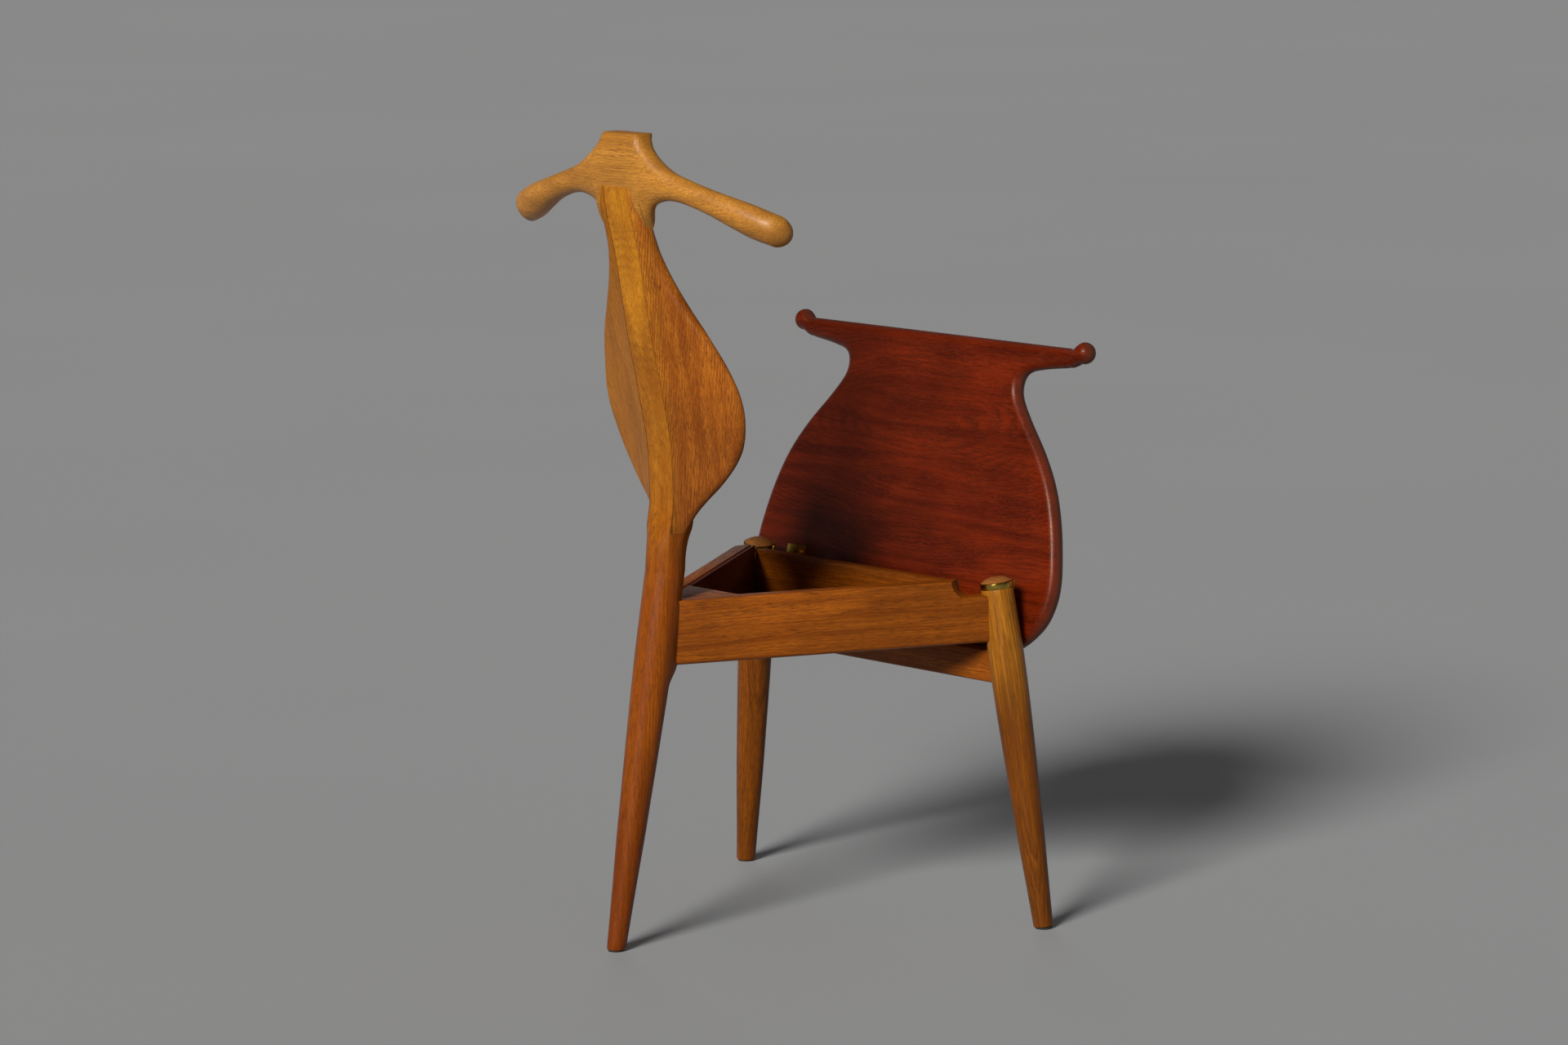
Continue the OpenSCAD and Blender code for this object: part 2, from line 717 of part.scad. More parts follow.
module box_front() color("#b98a45") {
  v0 = box_front_v - box_front_t;
  v1 = box_front_v;
  frame_board([
    [-rail_x(v0, rail_in), v0], [rail_x(v0, rail_in), v0],
    [rail_x(v1, rail_in), v1], [-rail_x(v1, rail_in), v1]
  ], -rail_h + box_drop, -step_h);
  x0 = box_front_x - box_end_slant;
  frame_board([[-x0, v0], [x0, v0], [box_front_x, v1], [-box_front_x, v1]], -step_h, -box_front_drop);
}

module box_side(side) color("#7a3a24") on_side(side) {
  v0 = box_front_v;
  v1 = block_v;
  inner = rail_in - box_side_t;
  frame_board([
    [rail_x(v0, inner), v0], [rail_x(v0, rail_in), v0],
    [rail_x(v1, rail_in), v1], [rail_x(v1, inner), v1]
  ], -rail_h + box_drop + box_floor_t, -box_drop);
}

module box_floor() color("#8a5a34") {
  v0 = box_front_v;
  v1 = block_v;
  frame_board([
    [-rail_x(v0, rail_in), v0], [rail_x(v0, rail_in), v0],
    [rail_x(v1, rail_in), v1], [-rail_x(v1, rail_in), v1]
  ], -rail_h + box_drop, -rail_h + box_drop + box_floor_t);
}

block_end = apex_v - 17;
module block_blank(side) on_side(side) {
  v1 = min(block_end, rail_v0 + (rail_x0 + rail_in / cos(rail_angle) - 2) / tan(rail_angle));
  frame_board([
    [0, block_v], [rail_x(block_v, rail_in), block_v],
    [rail_x(v1, rail_in), v1], [0, v1]
  ], -rail_h + box_drop, -box_drop);
}

module corner_block(side) color("#b5763a") block_blank(side);

// ---- Seat ------------------------------------------------------------------

// The seat's own place: the hinge line as origin, the seat lying to the rear
// when it is closed and turned up by the opening angle
module on_seat() {
  on_frame() translate([0, -hinge_v, -hinge_drop]) rotate([open_angle, 0, 0]) children();
}
seat_under = hinge_drop + seat_gap;
seat_fn = 24;
// A faceted ball reaches a little less far than its radius at top and bottom
seat_half_t = seat_r * cos(180 / seat_fn);

// Half of the line that the rounded edge runs along, from the front edge to the
// bar, as shares of the half width, with distances behind the hinge line
core_half = seat_half - seat_r;
core_lip = seat_r - lip_u;
core_kx = core_half / 245.5;
core_ku = (bar_u - core_lip) / 359;
core_form = [
  [0, 0], [60, 0.2], [110, 1.2], [148, 3.8], [178, 9], [208, 21], [233, 44], [243.5, 68],
  [245.5, 92], [241, 121], [231, 160], [215, 199], [191, 235.5], [159, 273], [139.5, 300],
  [135, 320], [140.5, 336.5], [154, 346.5], [174, 351.5], [196, 355], [216, 357.6]
];
core_right = spline(concat(
  [for (p = core_form) [p[0] * core_kx, core_lip + p[1] * core_ku]],
  [[ball_x - 9, bar_u + 1.5], [ball_x, bar_u + ball_rise - 1]]
), 3);
core_end = [[ball_x - 10, bar_u + 2.8], [ball_x - 20, bar_u + 0.8], [ball_x - 34, bar_u]];
n_core = len(core_right);
core_points = concat(
  core_right,
  core_end,
  [for (i = [2:-1:0]) [-core_end[i][0], core_end[i][1]]],
  [for (i = [n_core - 1:-1:1]) [-core_right[i][0], core_right[i][1]]]
);

module seat_core() {
  polygon(core_points);
}

module seat_board() color("#7d2f1c") on_seat() {
  dish_ball = (dish_r ^ 2 + dish_d ^ 2) / (2 * dish_d);
  mid = seat_under + seat_half_t;
  difference() {
    union() {
      translate([0, 0, mid]) minkowski() {
        linear_extrude(0.02, center = true) seat_core();
        sphere(r = seat_r, $fn = seat_fn);
      }
      for (side = [-1, 1])
        translate([side * ball_x, bar_u + ball_rise, mid]) sphere(r = ball_r);
    }
    translate([0, bar_u * 0.28, mid + seat_half_t - dish_d + dish_ball]) sphere(r = dish_ball, $fn = 180);
    for (side = [-1, 1]) on_side(side) {
      hinge_leaf();
      hinge_screw_set();
    }
  }
}

// ---- Hinges ----------------------------------------------------------------

plate_u0 = -5;
screw_u = plate_u0 + plate_l - 6;

// Plate let into the seat's underside, in the seat's own place
module hinge_leaf() {
  translate([hinge_x - plate_w / 2, plate_u0, seat_under - 0.2]) cube([plate_w, plate_l, plate_t]);
}

module hinge_screw_set() {
  for (m = [-1, 1]) translate([hinge_x + m * screw_x, screw_u, seat_under - 0.2]) {
    cylinder(r1 = screw_head_r, r2 = screw_r, h = plate_t - 0.2);
    cylinder(r = screw_r, h = screw_l);
  }
}

module hinge_plate(side) color("#c4a64c") on_seat() on_side(side) difference() {
  union() {
    hinge_leaf();
    translate([hinge_x - ear_t / 2, -ear_r, 0]) cube([ear_t, 2 * ear_r, seat_under]);
    translate([hinge_x - ear_t / 2, 0, 0]) rotate([0, 90, 0]) cylinder(r = ear_r, h = ear_t);
  }
  translate([hinge_x - ear_t, 0, 0]) rotate([0, 90, 0]) cylinder(r = pin_r + pin_fit, h = 2 * ear_t);
  hinge_screw_set();
}

module hinge_screws() color("#cdb15a") on_seat() {
  for (side = [-1, 1]) on_side(side) hinge_screw_set();
}

// Pin that stands out of the leg's inner side and carries the ear
pin_z = -hinge_drop;
leg_face_x = leg_at(seat_height - hinge_drop)[0] - front_head_r * 0.74;
module hinge_pin_blank() {
  inner = hinge_x - ear_t / 2 - pin_gap;
  outer = hinge_x + ear_t / 2 + pin_gap;
  on_frame() translate([0, -hinge_v, pin_z]) rotate([0, 90, 0]) {
    translate([0, 0, inner - pin_head_t]) cylinder(r = pin_head_r, h = pin_head_t);
    translate([0, 0, inner - 0.5]) cylinder(r = pin_r, h = leg_face_x + pin_grip - inner + 0.5);
    translate([0, 0, outer]) cylinder(r = pin_head_r - 0.5, h = 3);
  }
}

module hinge_pin(side) color("#c4a64c") on_side(side) hinge_pin_blank();

// ---- Pieces ----------------------------------------------------------------

rear_leg();
back_wing(-1);  // back_wing_left
back_wing(1);  // back_wing_right
coat_hanger();
front_leg(-1);  // front_leg_left
front_leg(1);  // front_leg_right
leg_ring_part(-1);  // leg_ring_left
leg_ring_part(1);  // leg_ring_right
leg_cap(-1);  // leg_cap_left
leg_cap(1);  // leg_cap_right
side_rail(-1);  // side_rail_left
side_rail(1);  // side_rail_right
front_rail();
box_front();
box_side(-1);  // box_side_left
box_side(1);  // box_side_right
box_floor();
corner_block(-1);  // corner_block_left
corner_block(1);  // corner_block_right
foot_pads();
hinge_pin(-1);  // hinge_pin_left
hinge_pin(1);  // hinge_pin_right
seat_board();
hinge_plate(-1);  // hinge_plate_left
hinge_plate(1);  // hinge_plate_right
hinge_screws();
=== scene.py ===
import math

import bmesh
import bpy
from mathutils import Matrix, Vector


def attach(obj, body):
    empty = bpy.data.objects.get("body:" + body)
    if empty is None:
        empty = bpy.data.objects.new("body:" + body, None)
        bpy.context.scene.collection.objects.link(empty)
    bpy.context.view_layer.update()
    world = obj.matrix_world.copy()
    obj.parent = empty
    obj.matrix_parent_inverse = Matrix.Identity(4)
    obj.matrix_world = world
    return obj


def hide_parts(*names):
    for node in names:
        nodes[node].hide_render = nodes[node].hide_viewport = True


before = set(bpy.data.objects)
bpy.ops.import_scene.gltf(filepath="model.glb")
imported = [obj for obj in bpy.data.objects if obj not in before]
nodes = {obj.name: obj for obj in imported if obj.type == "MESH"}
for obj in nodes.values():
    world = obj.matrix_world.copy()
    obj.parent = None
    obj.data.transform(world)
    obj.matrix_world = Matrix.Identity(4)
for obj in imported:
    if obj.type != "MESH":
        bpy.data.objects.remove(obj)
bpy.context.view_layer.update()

# ---- Sizes of the chair, in millimetres ---------------------------------------------

BACK_TOP = 950
SEAT_HEIGHT = 418
FALL_DEGREES = 2.2  # fall of the seat frame to the rear
FALL = math.radians(FALL_DEGREES)
SEAT_TURN = 104.6  # degrees, from the seat tipped up to the seat down
HINGE_V, HINGE_H = -12, -24.5
FRONT_FOOT = (259, -180.5)
FRONT_HEAD = (203, -152.5)
REAR_FOOT_Y = 265
REAR_FOOT_R = 11.1
REAR_LEG_R = 23.2
WAIST_Z = 440
WAIST_Y = 186.5
WING_Z = 484
STRIP_X = 20.5
STRIP_TOP_B = 14
WING_EDGE = 6
STRIP_TOP_Z = 889
NECK_X = 29
TIP_X = 207.5
TIP_Z = 850.5
TIP_R = 19.4
TIP_SWEEP = 31.5
PAD_H = 2
MM = 0.001  # metres


# ---- Smooth curves through stations -------------------------------------------------

def curve(stations, u, k=1):
    """Value of column k at u on the smooth curve through the stations."""
    last = len(stations) - 1
    i = 0
    while i < last - 1 and u >= stations[i + 1][0]:
        i += 1

    def slope(j):
        a, b = stations[max(j - 1, 0)], stations[min(j + 1, last)]
        return (b[k] - a[k]) / (b[0] - a[0])

    a, b = stations[i], stations[i + 1]
    h = b[0] - a[0]
    f = (u - a[0]) / h
    return (
        (2 * f ** 3 - 3 * f ** 2 + 1) * a[k]
        + (f ** 3 - 2 * f ** 2 + f) * slope(i) * h
        + (3 * f ** 2 - 2 * f ** 3) * b[k]
        + (f ** 3 - f ** 2) * slope(i + 1) * h
    )


def mix(a, b, f):
    return a + (b - a) * f


def ease(f):
    g = min(max(f, 0), 1)
    return g * g * (3 - 2 * g)


def steps(a, b, n):
    """n + 1 even steps from a to b."""
    return [mix(a, b, i / n) for i in range(n + 1)]


def spline(points, n):
    """Smooth line through the points, with n steps between two of them."""
    out = []
    m = len(points) - 1
    for i in range(m):
        a, b = points[max(i - 1, 0)], points[i]
        c, d = points[i + 1], points[min(i + 2, m)]
        for s in range(n):
            f = s / n
            out.append(tuple(
                (2 * b[k] + (c[k] - a[k]) * f + (2 * a[k] - 5 * b[k] + 4 * c[k] - d[k]) * f ** 2
                 + (3 * b[k] - a[k] - 3 * c[k] + d[k]) * f ** 3) / 2
                for k in range(2)
            ))
    out.append(tuple(points[m]))
    return out


# ---- Places -------------------------------------------------------------------------

def metres(p):
    return Vector(p) * MM


def on_frame(x, v, h):
    """The seat frame's own plane: v runs to the rear from the front legs' heads, h is 0 on the rails' top."""
    return (
        x,
        FRONT_HEAD[1] + v * math.cos(FALL) + h * math.sin(FALL),
        SEAT_HEIGHT - v * math.sin(FALL) + h * math.cos(FALL),
    )


def frame_z(y):
    """Height of the seat frame's top at y."""
    return SEAT_HEIGHT - (y - FRONT_HEAD[1]) * math.tan(FALL)


def way_to(p, q):
    """The way from p to q."""
    return tuple(b - a for a, b in zip(p, q))


OPENED = math.radians(SEAT_TURN - FALL_DEGREES)
HINGE = on_frame(0, HINGE_V, HINGE_H)


def on_seat(x, u, h):
    """The seat board's own place: u runs from the hinge line to the trouser bar, h up from its underside."""
    return (
        x,
        HINGE[1] + u * math.cos(OPENED) - h * math.sin(OPENED),
        HINGE[2] + u * math.sin(OPENED) + h * math.cos(OPENED),
    )


# ---- Working by hand ----------------------------------------------------------------

def pick_only(piece):
    bpy.ops.object.select_all(action="DESELECT")
    piece.select_set(True)
    bpy.context.view_layer.objects.active = piece


def close_up(piece):
    """Leaves edit mode with every face pointing outwards."""
    bpy.ops.mesh.select_all(action="SELECT")
    bpy.ops.mesh.remove_doubles(threshold=1e-6)
    bpy.ops.mesh.normals_make_consistent(inside=False)
    bpy.ops.object.mode_set(mode="OBJECT")


def start_ring(name, count, fill):
    """A circle to start a piece from, with the points of it picked in their order."""
    bpy.ops.object.select_all(action="DESELECT")
    bpy.ops.mesh.primitive_circle_add(vertices=count, radius=0.01, fill_type=fill)
    piece = bpy.context.object
    piece.name = name
    piece.data.name = name
    bpy.ops.object.mode_set(mode="EDIT")
    bpy.ops.mesh.select_mode(type="VERT")
    return piece


def put(points, ring):
    for point, place in zip(points, ring):
        point.co = metres(place)


def pick(mesh, chosen):
    """Picks just these points, and the edges and faces between them."""
    for part in (mesh.verts, mesh.edges, mesh.faces):
        for p in part:
            p.select_set(False)
    for p in chosen:
        p.select_set(True)
    mesh.select_flush(True)


def pick_edges(mesh, place, test):
    """Picks the edges whose two ends, put in their places, pass the test."""
    pick(mesh, [])
    for e in mesh.edges:
        a, b = (place(v.co) for v in e.verts)
        if test(a, b):
            e.select_set(True)


def round_off(radius, segments=7):
    """Rounds the picked edges with a radius in millimetres."""
    bpy.ops.mesh.bevel(
        offset=radius * MM, offset_type="OFFSET", segments=segments, profile=0.5, affect="EDGES"
    )


def extrude_line(piece, line):
    """Extrudes the picked line of edges and returns the new points in the same order."""
    bpy.ops.mesh.extrude_edges_indiv()
    mesh = bmesh.from_edit_mesh(piece.data)
    mesh.verts.index_update()
    place = {i: k for k, i in enumerate(line)}
    new = [None] * len(line)
    for v in mesh.verts:
        if v.select:
            for e in v.link_edges:
                other = e.other_vert(v)
                if not other.select and other.index in place:
                    new[place[other.index]] = v
    return mesh, new


def loft(name, rings, start="face", end="face"):
    """Draws a ring of points and extrudes it from station to station.

    Each end is closed by a face or drawn to a point.
    """
    piece = start_ring(name, len(rings[0]), "NOTHING")
    mesh = bmesh.from_edit_mesh(piece.data)
    line = list(mesh.verts)
    put(line, rings[0])
    for ring in rings[1:]:
        mesh.verts.index_update()
        mesh, line = extrude_line(piece, [v.index for v in line])
        put(line, ring)
    count = len(rings[0])
    mesh.verts.index_update()
    mesh.verts.ensure_lookup_table()
    first = [mesh.verts[i].index for i in range(count)]
    last = [v.index for v in line]
    for ends, way in ((last, end), (first, start)):
        mesh = bmesh.from_edit_mesh(piece.data)
        mesh.verts.ensure_lookup_table()
        pick(mesh, [mesh.verts[i] for i in ends])
        if way == "face":
            bpy.ops.mesh.edge_face_add()
        else:
            bpy.ops.mesh.merge(type="CENTER")
    close_up(piece)
    return piece


def eased(piece, width, segments=3, angle=40):
    """Eases the piece's sharp edges by width, in millimetres."""
    pick_only(piece)
    bevel = piece.modifiers.new("eased edges", "BEVEL")
    bevel.width = width * MM
    bevel.segments = segments
    bevel.limit_method = "ANGLE"
    bevel.angle_limit = math.radians(angle)
    bevel.use_clamp_overlap = True
    bpy.ops.object.modifier_apply(modifier=bevel.name)
    return piece


def smooth(piece, angle=32):
    pick_only(piece)
    bpy.ops.object.shade_smooth_by_angle(angle=math.radians(angle))
    return piece


def board(name, outline, depth, ease_by=0.8, rounded=None, radius=5):
    """Draws an outline as one face and extrudes it by depth; edges that rounded picks get a larger radius."""
    piece = start_ring(name, len(outline), "NGON")
    mesh = bmesh.from_edit_mesh(piece.data)
    put(list(mesh.verts), outline)
    bmesh.update_edit_mesh(piece.data)
    bpy.ops.mesh.select_all(action="SELECT")
    bpy.ops.mesh.extrude_region_move(TRANSFORM_OT_translate={"value": metres(depth)})
    bpy.ops.mesh.select_all(action="SELECT")
    bpy.ops.mesh.normals_make_consistent(inside=False)
    if rounded:
        pick_edges(bmesh.from_edit_mesh(piece.data), lambda co: co * 1000, rounded)
        round_off(radius)
    close_up(piece)
    return eased(piece, ease_by) if ease_by else piece


# ---- Back: one strip down to the floor, two wings, the hanger -------------------------

# depth below the top, and y of the hanger's middle
HANGER_FORM = [
    (0, 242.3), (12, 246), (25, 248.3), (45, 248.8), (61, 248.2), (80, 245.7), (100, 241), (125, 234.5),
]
# height above the waist, how far the strip bends off the straight, and half its thickness
STRIP_FORM = [
    (0, 0, 23.2), (15, -3, 23), (30, -7.1, 22.4), (45, -12.5, 21.2), (60, -17.1, 18.8), (78, -21.3, 17),
    (113, -24.4, 16.2), (151, -25.9, 15.8), (190, -22.7, 15.4), (233, -18.3, 15), (267, -13.9, 14.8),
    (305, -11.3, 14.6), (345, -9, 14.5), (380, -6.2, 14.4), (410, -1.7, 14.2), (430, 0.1, 14.1), (449, 0, 14),
]
# height above the waist, half the leaf's width, and how far its edge is drawn forward
LEAF_FORM = [
    (0, 23.2, 0), (25, 23.3, 0.3), (40, 24, 1.6), (55, 29.3, 4.4), (70, 38.5, 6.6), (85, 52.8, 9),
    (100, 68.5, 12.6), (115, 82, 16), (130, 93.8, 18.3), (145, 102.9, 19.8), (160, 109, 20.5), (175, 113, 21),
    (190, 115, 21.5), (205, 114.3, 21.5), (220, 111.4, 21), (250, 100.8, 18.3), (280, 85.6, 13.9),
    (310, 67.9, 8.9), (340, 52.2, 4.8), (370, 41, 1.2), (385, 38.3, 0), (400, 37.2, -0.6), (420, 37.4, -0.8),
    (449, 46, -1),
]
# share of the rear leg's length, and share of its growth in radius
REAR_FORM = [
    (0, 0), (0.114, 0.165), (0.205, 0.305), (0.295, 0.455), (0.386, 0.56), (0.477, 0.67),
    (0.568, 0.77), (0.66, 0.868), (0.77, 0.96), (0.91, 1), (1, 1),
]
# distance from the middle, depth of the arm's upper and lower edge below the top, and half its thickness
ARM_FORM = [
    (29, 0, 61, 13.4), (32.5, 4.5, 70, 13.4), (37, 9.5, 102, 13.4), (39, 12, 95, 13.3),
    (42, 15.2, 89.5, 13.2), (46, 19.2, 83.5, 13.1), (52, 24.4, 79, 13), (66, 34, 74.5, 13),
    (80, 40.8, 73.5, 13), (100, 47.4, 76.6, 13), (130, 56.2, 86, 14.3), (160, 64.2, 99.5, 16.4),
    (185, 71, 110.8, 18.3), (208.5, 79.1, 117.9, 19.4),
]
ARM_START, ARM_END = ARM_FORM[0][0], ARM_FORM[-1][0]
NECK_CORNER = 4
TIP_TURNS = (8, 16, 24, 32, 40, 48, 56, 64, 71, 77, 82, 86)  # degrees round the arm's end
# the slanting joint between wing and hanger
JOINT_IN = 2.5
JOINT_LOW_X = 36.8
JOINT_LOW_Z = STRIP_TOP_Z - 47


def hanger_y(z):
    return curve(HANGER_FORM, BACK_TOP - z)


def back_share(z):
    return (z - WAIST_Z) / (STRIP_TOP_Z - WAIST_Z)


def axis_y(z):
    if z <= WAIST_Z:
        return mix(REAR_FOOT_Y, WAIST_Y, z / WAIST_Z)
    return mix(WAIST_Y, hanger_y(STRIP_TOP_Z), back_share(z)) + curve(STRIP_FORM, z - WAIST_Z, 1)


def strip_b(z):
    return curve(STRIP_FORM, z - WAIST_Z, 2)


def leaf_w(z):
    return curve(LEAF_FORM, z - WAIST_Z, 1)


def leaf_round(x, z):
    return strip_b(z) * math.sqrt(max(1 - (x / leaf_w(z)) ** 2, 0))


def half_t(x, z):
    """Half thickness of the back: a thick strip that runs out into thin, round-edged wings."""
    w, b = leaf_w(z), strip_b(z)
    edge = mix(WING_EDGE, b, ease((back_share(z) - 0.5) / 0.38))
    e = min(edge, w - 14)
    t = max(x - STRIP_X, 0) / max(w - STRIP_X, 1)
    flat = mix(min(e, b), b, (1 - min(t, 1)) ** 3.2) - 0.8 * min(x / STRIP_X, 1) ** 2
    rim = math.sqrt(max(1 - ((x - w + e) / e) ** 2, 0)) if x > w - e else 1
    return max(mix(leaf_round(x, z), flat * rim, ease((back_share(z) - 0.02) / 0.16)), 0.05)


def half_front(x, z):
    """The same towards the front, where the slender neck is round."""
    return max(mix(half_t(x, z), leaf_round(x, z), ease((back_share(z) - 0.6) / 0.25)), 0.05)


def mid_y(x, z):
    t = max(x - STRIP_X, 0) / max(leaf_w(z) - STRIP_X, 1)
    return axis_y(z) - curve(LEAF_FORM, z - WAIST_Z, 2) * min(t, 1) ** 1.5


REAR_TOP_Z = frame_z(axis_y(SEAT_HEIGHT))  # where the top of the seat frame meets the rear leg
HAUNCH_TOP = REAR_TOP_Z - 2
HAUNCH_FROM, HAUNCH_RISE, HAUNCH_DEEP = 304, 24, 10
SIDES = 56


def haunch_y(z):
    """Extra depth in front of the leg where the rails and their blocks meet it."""
    return 0 if z > HAUNCH_TOP else HAUNCH_DEEP * ease((z - HAUNCH_FROM) / HAUNCH_RISE)


def leg_ring(z):
    r = mix(REAR_FOOT_R, REAR_LEG_R, curve(REAR_FORM, z / WAIST_Z))
    ring = []
    for i in range(SIDES):
        a = math.tau * i / SIDES
        dy = r * math.sin(a)
        ring.append((r * math.cos(a), axis_y(z) + dy + (haunch_y(z) * dy / r if dy < 0 else 0), z))
    return ring


def bend_ring(z):
    ring = []
    for i in range(SIDES):
        a = math.tau * i / SIDES
        x = leaf_w(z) * math.cos(a)
        dy = half_t(abs(x), z) if math.sin(a) > 0 else -half_front(abs(x), z)
        if abs(math.sin(a)) < 0.01:
            dy = 0
        ring.append((x, mid_y(abs(x), z) + dy, z))
    return ring


def strip_ring(z):
    corner = math.sin(math.acos(STRIP_X / REAR_LEG_R))
    ring = []
    for i in range(SIDES):
        a = math.tau * i / SIDES
        reach = REAR_LEG_R * math.cos(a)
        x = max(min(reach, STRIP_X), -STRIP_X)
        full = half_t(abs(x), z) if math.sin(a) > 0 else half_front(abs(x), z)
        side = math.copysign(1, math.sin(a)) if abs(reach) < STRIP_X else math.sin(a) / corner
        ring.append((x, axis_y(z) + full * side, z))
    return ring


def rear_leg_and_strip():
    # the two lowest rings are drawn in, so that the foot's edge is eased
    foot = [
        [mix_point(p, (0, REAR_FOOT_Y, PAD_H), 0.14) for p in leg_ring(PAD_H)],
        [mix_point(p, (0, REAR_FOOT_Y, PAD_H), 0.04) for p in leg_ring(PAD_H + 0.4)],
    ]
    # rings stand closer from a little below the haunch, and its top is a sharp ledge
    heights = steps(PAD_H + 1.4, 290, 30) + steps(290, HAUNCH_TOP - 0.05, 34)[1:]
    heights += steps(HAUNCH_TOP + 0.05, WAIST_Z, 7)
    rings = foot + [leg_ring(z) for z in heights]
    rings += [bend_ring(z) for z in steps(WAIST_Z, WING_Z, 14)[1:]]
    rings += [strip_ring(z) for z in [WING_Z + 0.3] + steps(WING_Z, STRIP_TOP_Z, 96)[1:]]
    return smooth(loft("centre_strip_and_rear_leg", rings))


def mix_point(p, q, f):
    return tuple(mix(a, b, f) for a, b in zip(p, q))


def joint_x(z):
    return mix(JOINT_LOW_X, STRIP_X + JOINT_IN, (z - JOINT_LOW_Z) / (STRIP_TOP_Z - JOINT_LOW_Z))


def joint_z(x):
    return mix(STRIP_TOP_Z, JOINT_LOW_Z, (x - STRIP_X - JOINT_IN) / (JOINT_LOW_X - STRIP_X - JOINT_IN))


def wing_ring(z, side, n=26):
    w = min(joint_x(z), leaf_w(z)) if z > JOINT_LOW_Z else leaf_w(z)
    xs = [STRIP_X + (w - STRIP_X) * math.sin(math.pi / 2 * j / n) for j in range(n + 1)]
    rear = [(side * x, mid_y(x, z) + half_t(x, z), z) for x in xs]
    front = [(side * x, mid_y(x, z) - half_front(x, z), z) for x in reversed(xs)]
    return rear + front


def wing(name, side):
    heights = steps(WING_Z + 0.3, JOINT_LOW_Z, 96) + steps(JOINT_LOW_Z, STRIP_TOP_Z, 12)[1:]
    return smooth(loft(name, [wing_ring(z, side) for z in heights]), 44)


def arm_top(x):
    return BACK_TOP if x <= NECK_X else BACK_TOP - curve(ARM_FORM, arm_u(x), 1)


def arm_u(x):
    """The place in ARM_FORM that belongs to x."""
    return x if x < NECK_X else ARM_START + (x - NECK_X) * (ARM_END - ARM_START) / (TIP_X - NECK_X)


def arm_low(x):
    return BACK_TOP - curve(ARM_FORM, arm_u(x), 2)


def neck_b(x):
    """Half depth of the flat top, with its rounded corners."""
    c = max(x - NECK_X + NECK_CORNER, 0)
    return STRIP_TOP_B - 1.5 - NECK_CORNER + math.sqrt(max(NECK_CORNER ** 2 - c * c, 0))


def arm_side(s, low, middle, top, power):
    """Half depth of the hanger's section at share s of its height; power makes its upper half fuller."""
    u = abs(s - 0.5) * 2
    if s < 0.5:
        return mix(low, middle, (1 - u ** 2) ** 0.5)
    return mix(top, middle, (1 - u ** power) ** 0.5)


def hanger_ring(x, rows=22):
    """Section of the hanger at x: the block on the strip and the wings, the arm, or its round end."""
    ax = abs(x)
    tip = ax > TIP_X
    cap = math.sqrt(max(TIP_R ** 2 - (ax - TIP_X) ** 2, 0.04)) if tip else 0
    z1 = TIP_Z + cap if tip else arm_top(ax)
    join = ax < JOINT_LOW_X
    flat_z = STRIP_TOP_Z if ax <= STRIP_X + JOINT_IN else joint_z(ax) + 0.03
    z0 = TIP_Z - cap if tip else flat_z if join else arm_low(ax)
    b = cap if tip else curve(ARM_FORM, max(arm_u(ax), ARM_START), 3)
    low_rear = half_t(ax, z0) if join else 0.4
    low_front = half_front(ax, z0) if join else 0.4
    b1 = neck_b(ax) if ax <= NECK_X else mix(7, 0.4, ease((ax - NECK_X) / 12))
    if tip:
        b1 = min(b1, cap * 0.3)
        low_rear = low_front = min(0.4, cap * 0.3)
    p1 = 14 if ax <= NECK_X else mix(6, 2, ease((ax - NECK_X) / 60))
    sweep = -TIP_SWEEP * (ax / TIP_X) ** 2
    seat = mid_y(ax, z0) - hanger_y(z0) - sweep if join else 0
    rear, front = [], []
    for i in range(rows + 1):
        s = (1 - math.cos(math.pi * i / rows)) / 2
        z = mix(z0, z1, s)
        y = hanger_y(z) + sweep + seat * (1 - ease(2 * s))
        rear.append((x, y + arm_side(s, low_rear, b, b1, p1), z))
        front.append((x, y - arm_side(s, low_front, b, b1, p1), z))
    return rear + front[::-1]


def coat_hanger():
    half = steps(0, STRIP_X, 6) + [STRIP_X + 1.2] + steps(STRIP_X + JOINT_IN, NECK_X, 5)
    half += steps(NECK_X, JOINT_LOW_X - 0.02, 10)[1:] + [JOINT_LOW_X + 0.3]
    half += steps(38, 66, 20) + steps(66, TIP_X, 44)[1:]
    half += [TIP_X + TIP_R * math.sin(math.radians(a)) for a in TIP_TURNS]
    stations = [-x for x in reversed(half[1:])] + half
    return smooth(loft("coat_hanger_top", [hanger_ring(x) for x in stations]), 50)


# ---- Front legs, with ring and cap --------------------------------------------------

LEG_RUN = Vector((FRONT_HEAD[0] - FRONT_FOOT[0], FRONT_HEAD[1] - FRONT_FOOT[1], SEAT_HEIGHT))
LEG_LENGTH = LEG_RUN.length
# share of the front leg's length, and share of its growth in radius
LEG_FORM = [
    (0, 0), (0.09, 0.14), (0.18, 0.31), (0.27, 0.48), (0.36, 0.605), (0.45, 0.715), (0.54, 0.825),
    (0.63, 0.925), (0.72, 0.985), (0.82, 1), (1, 1),
]
FOOT_R, LEG_R, HEAD_R = 11.6, 21.3, 19.3
SPIGOT_R = 13  # carries ring and cap
RING_H, CAP_H = 7, 7
RING_BASE = LEG_LENGTH - RING_H - CAP_H
RING_R = HEAD_R + 0.3
CAP_TURNS = (14, 22, 30, 38, 46, 54, 62, 70, 78, 85)  # degrees up the dome
FOOT_CUT = 6.5  # the foot's tilted end lies below this height


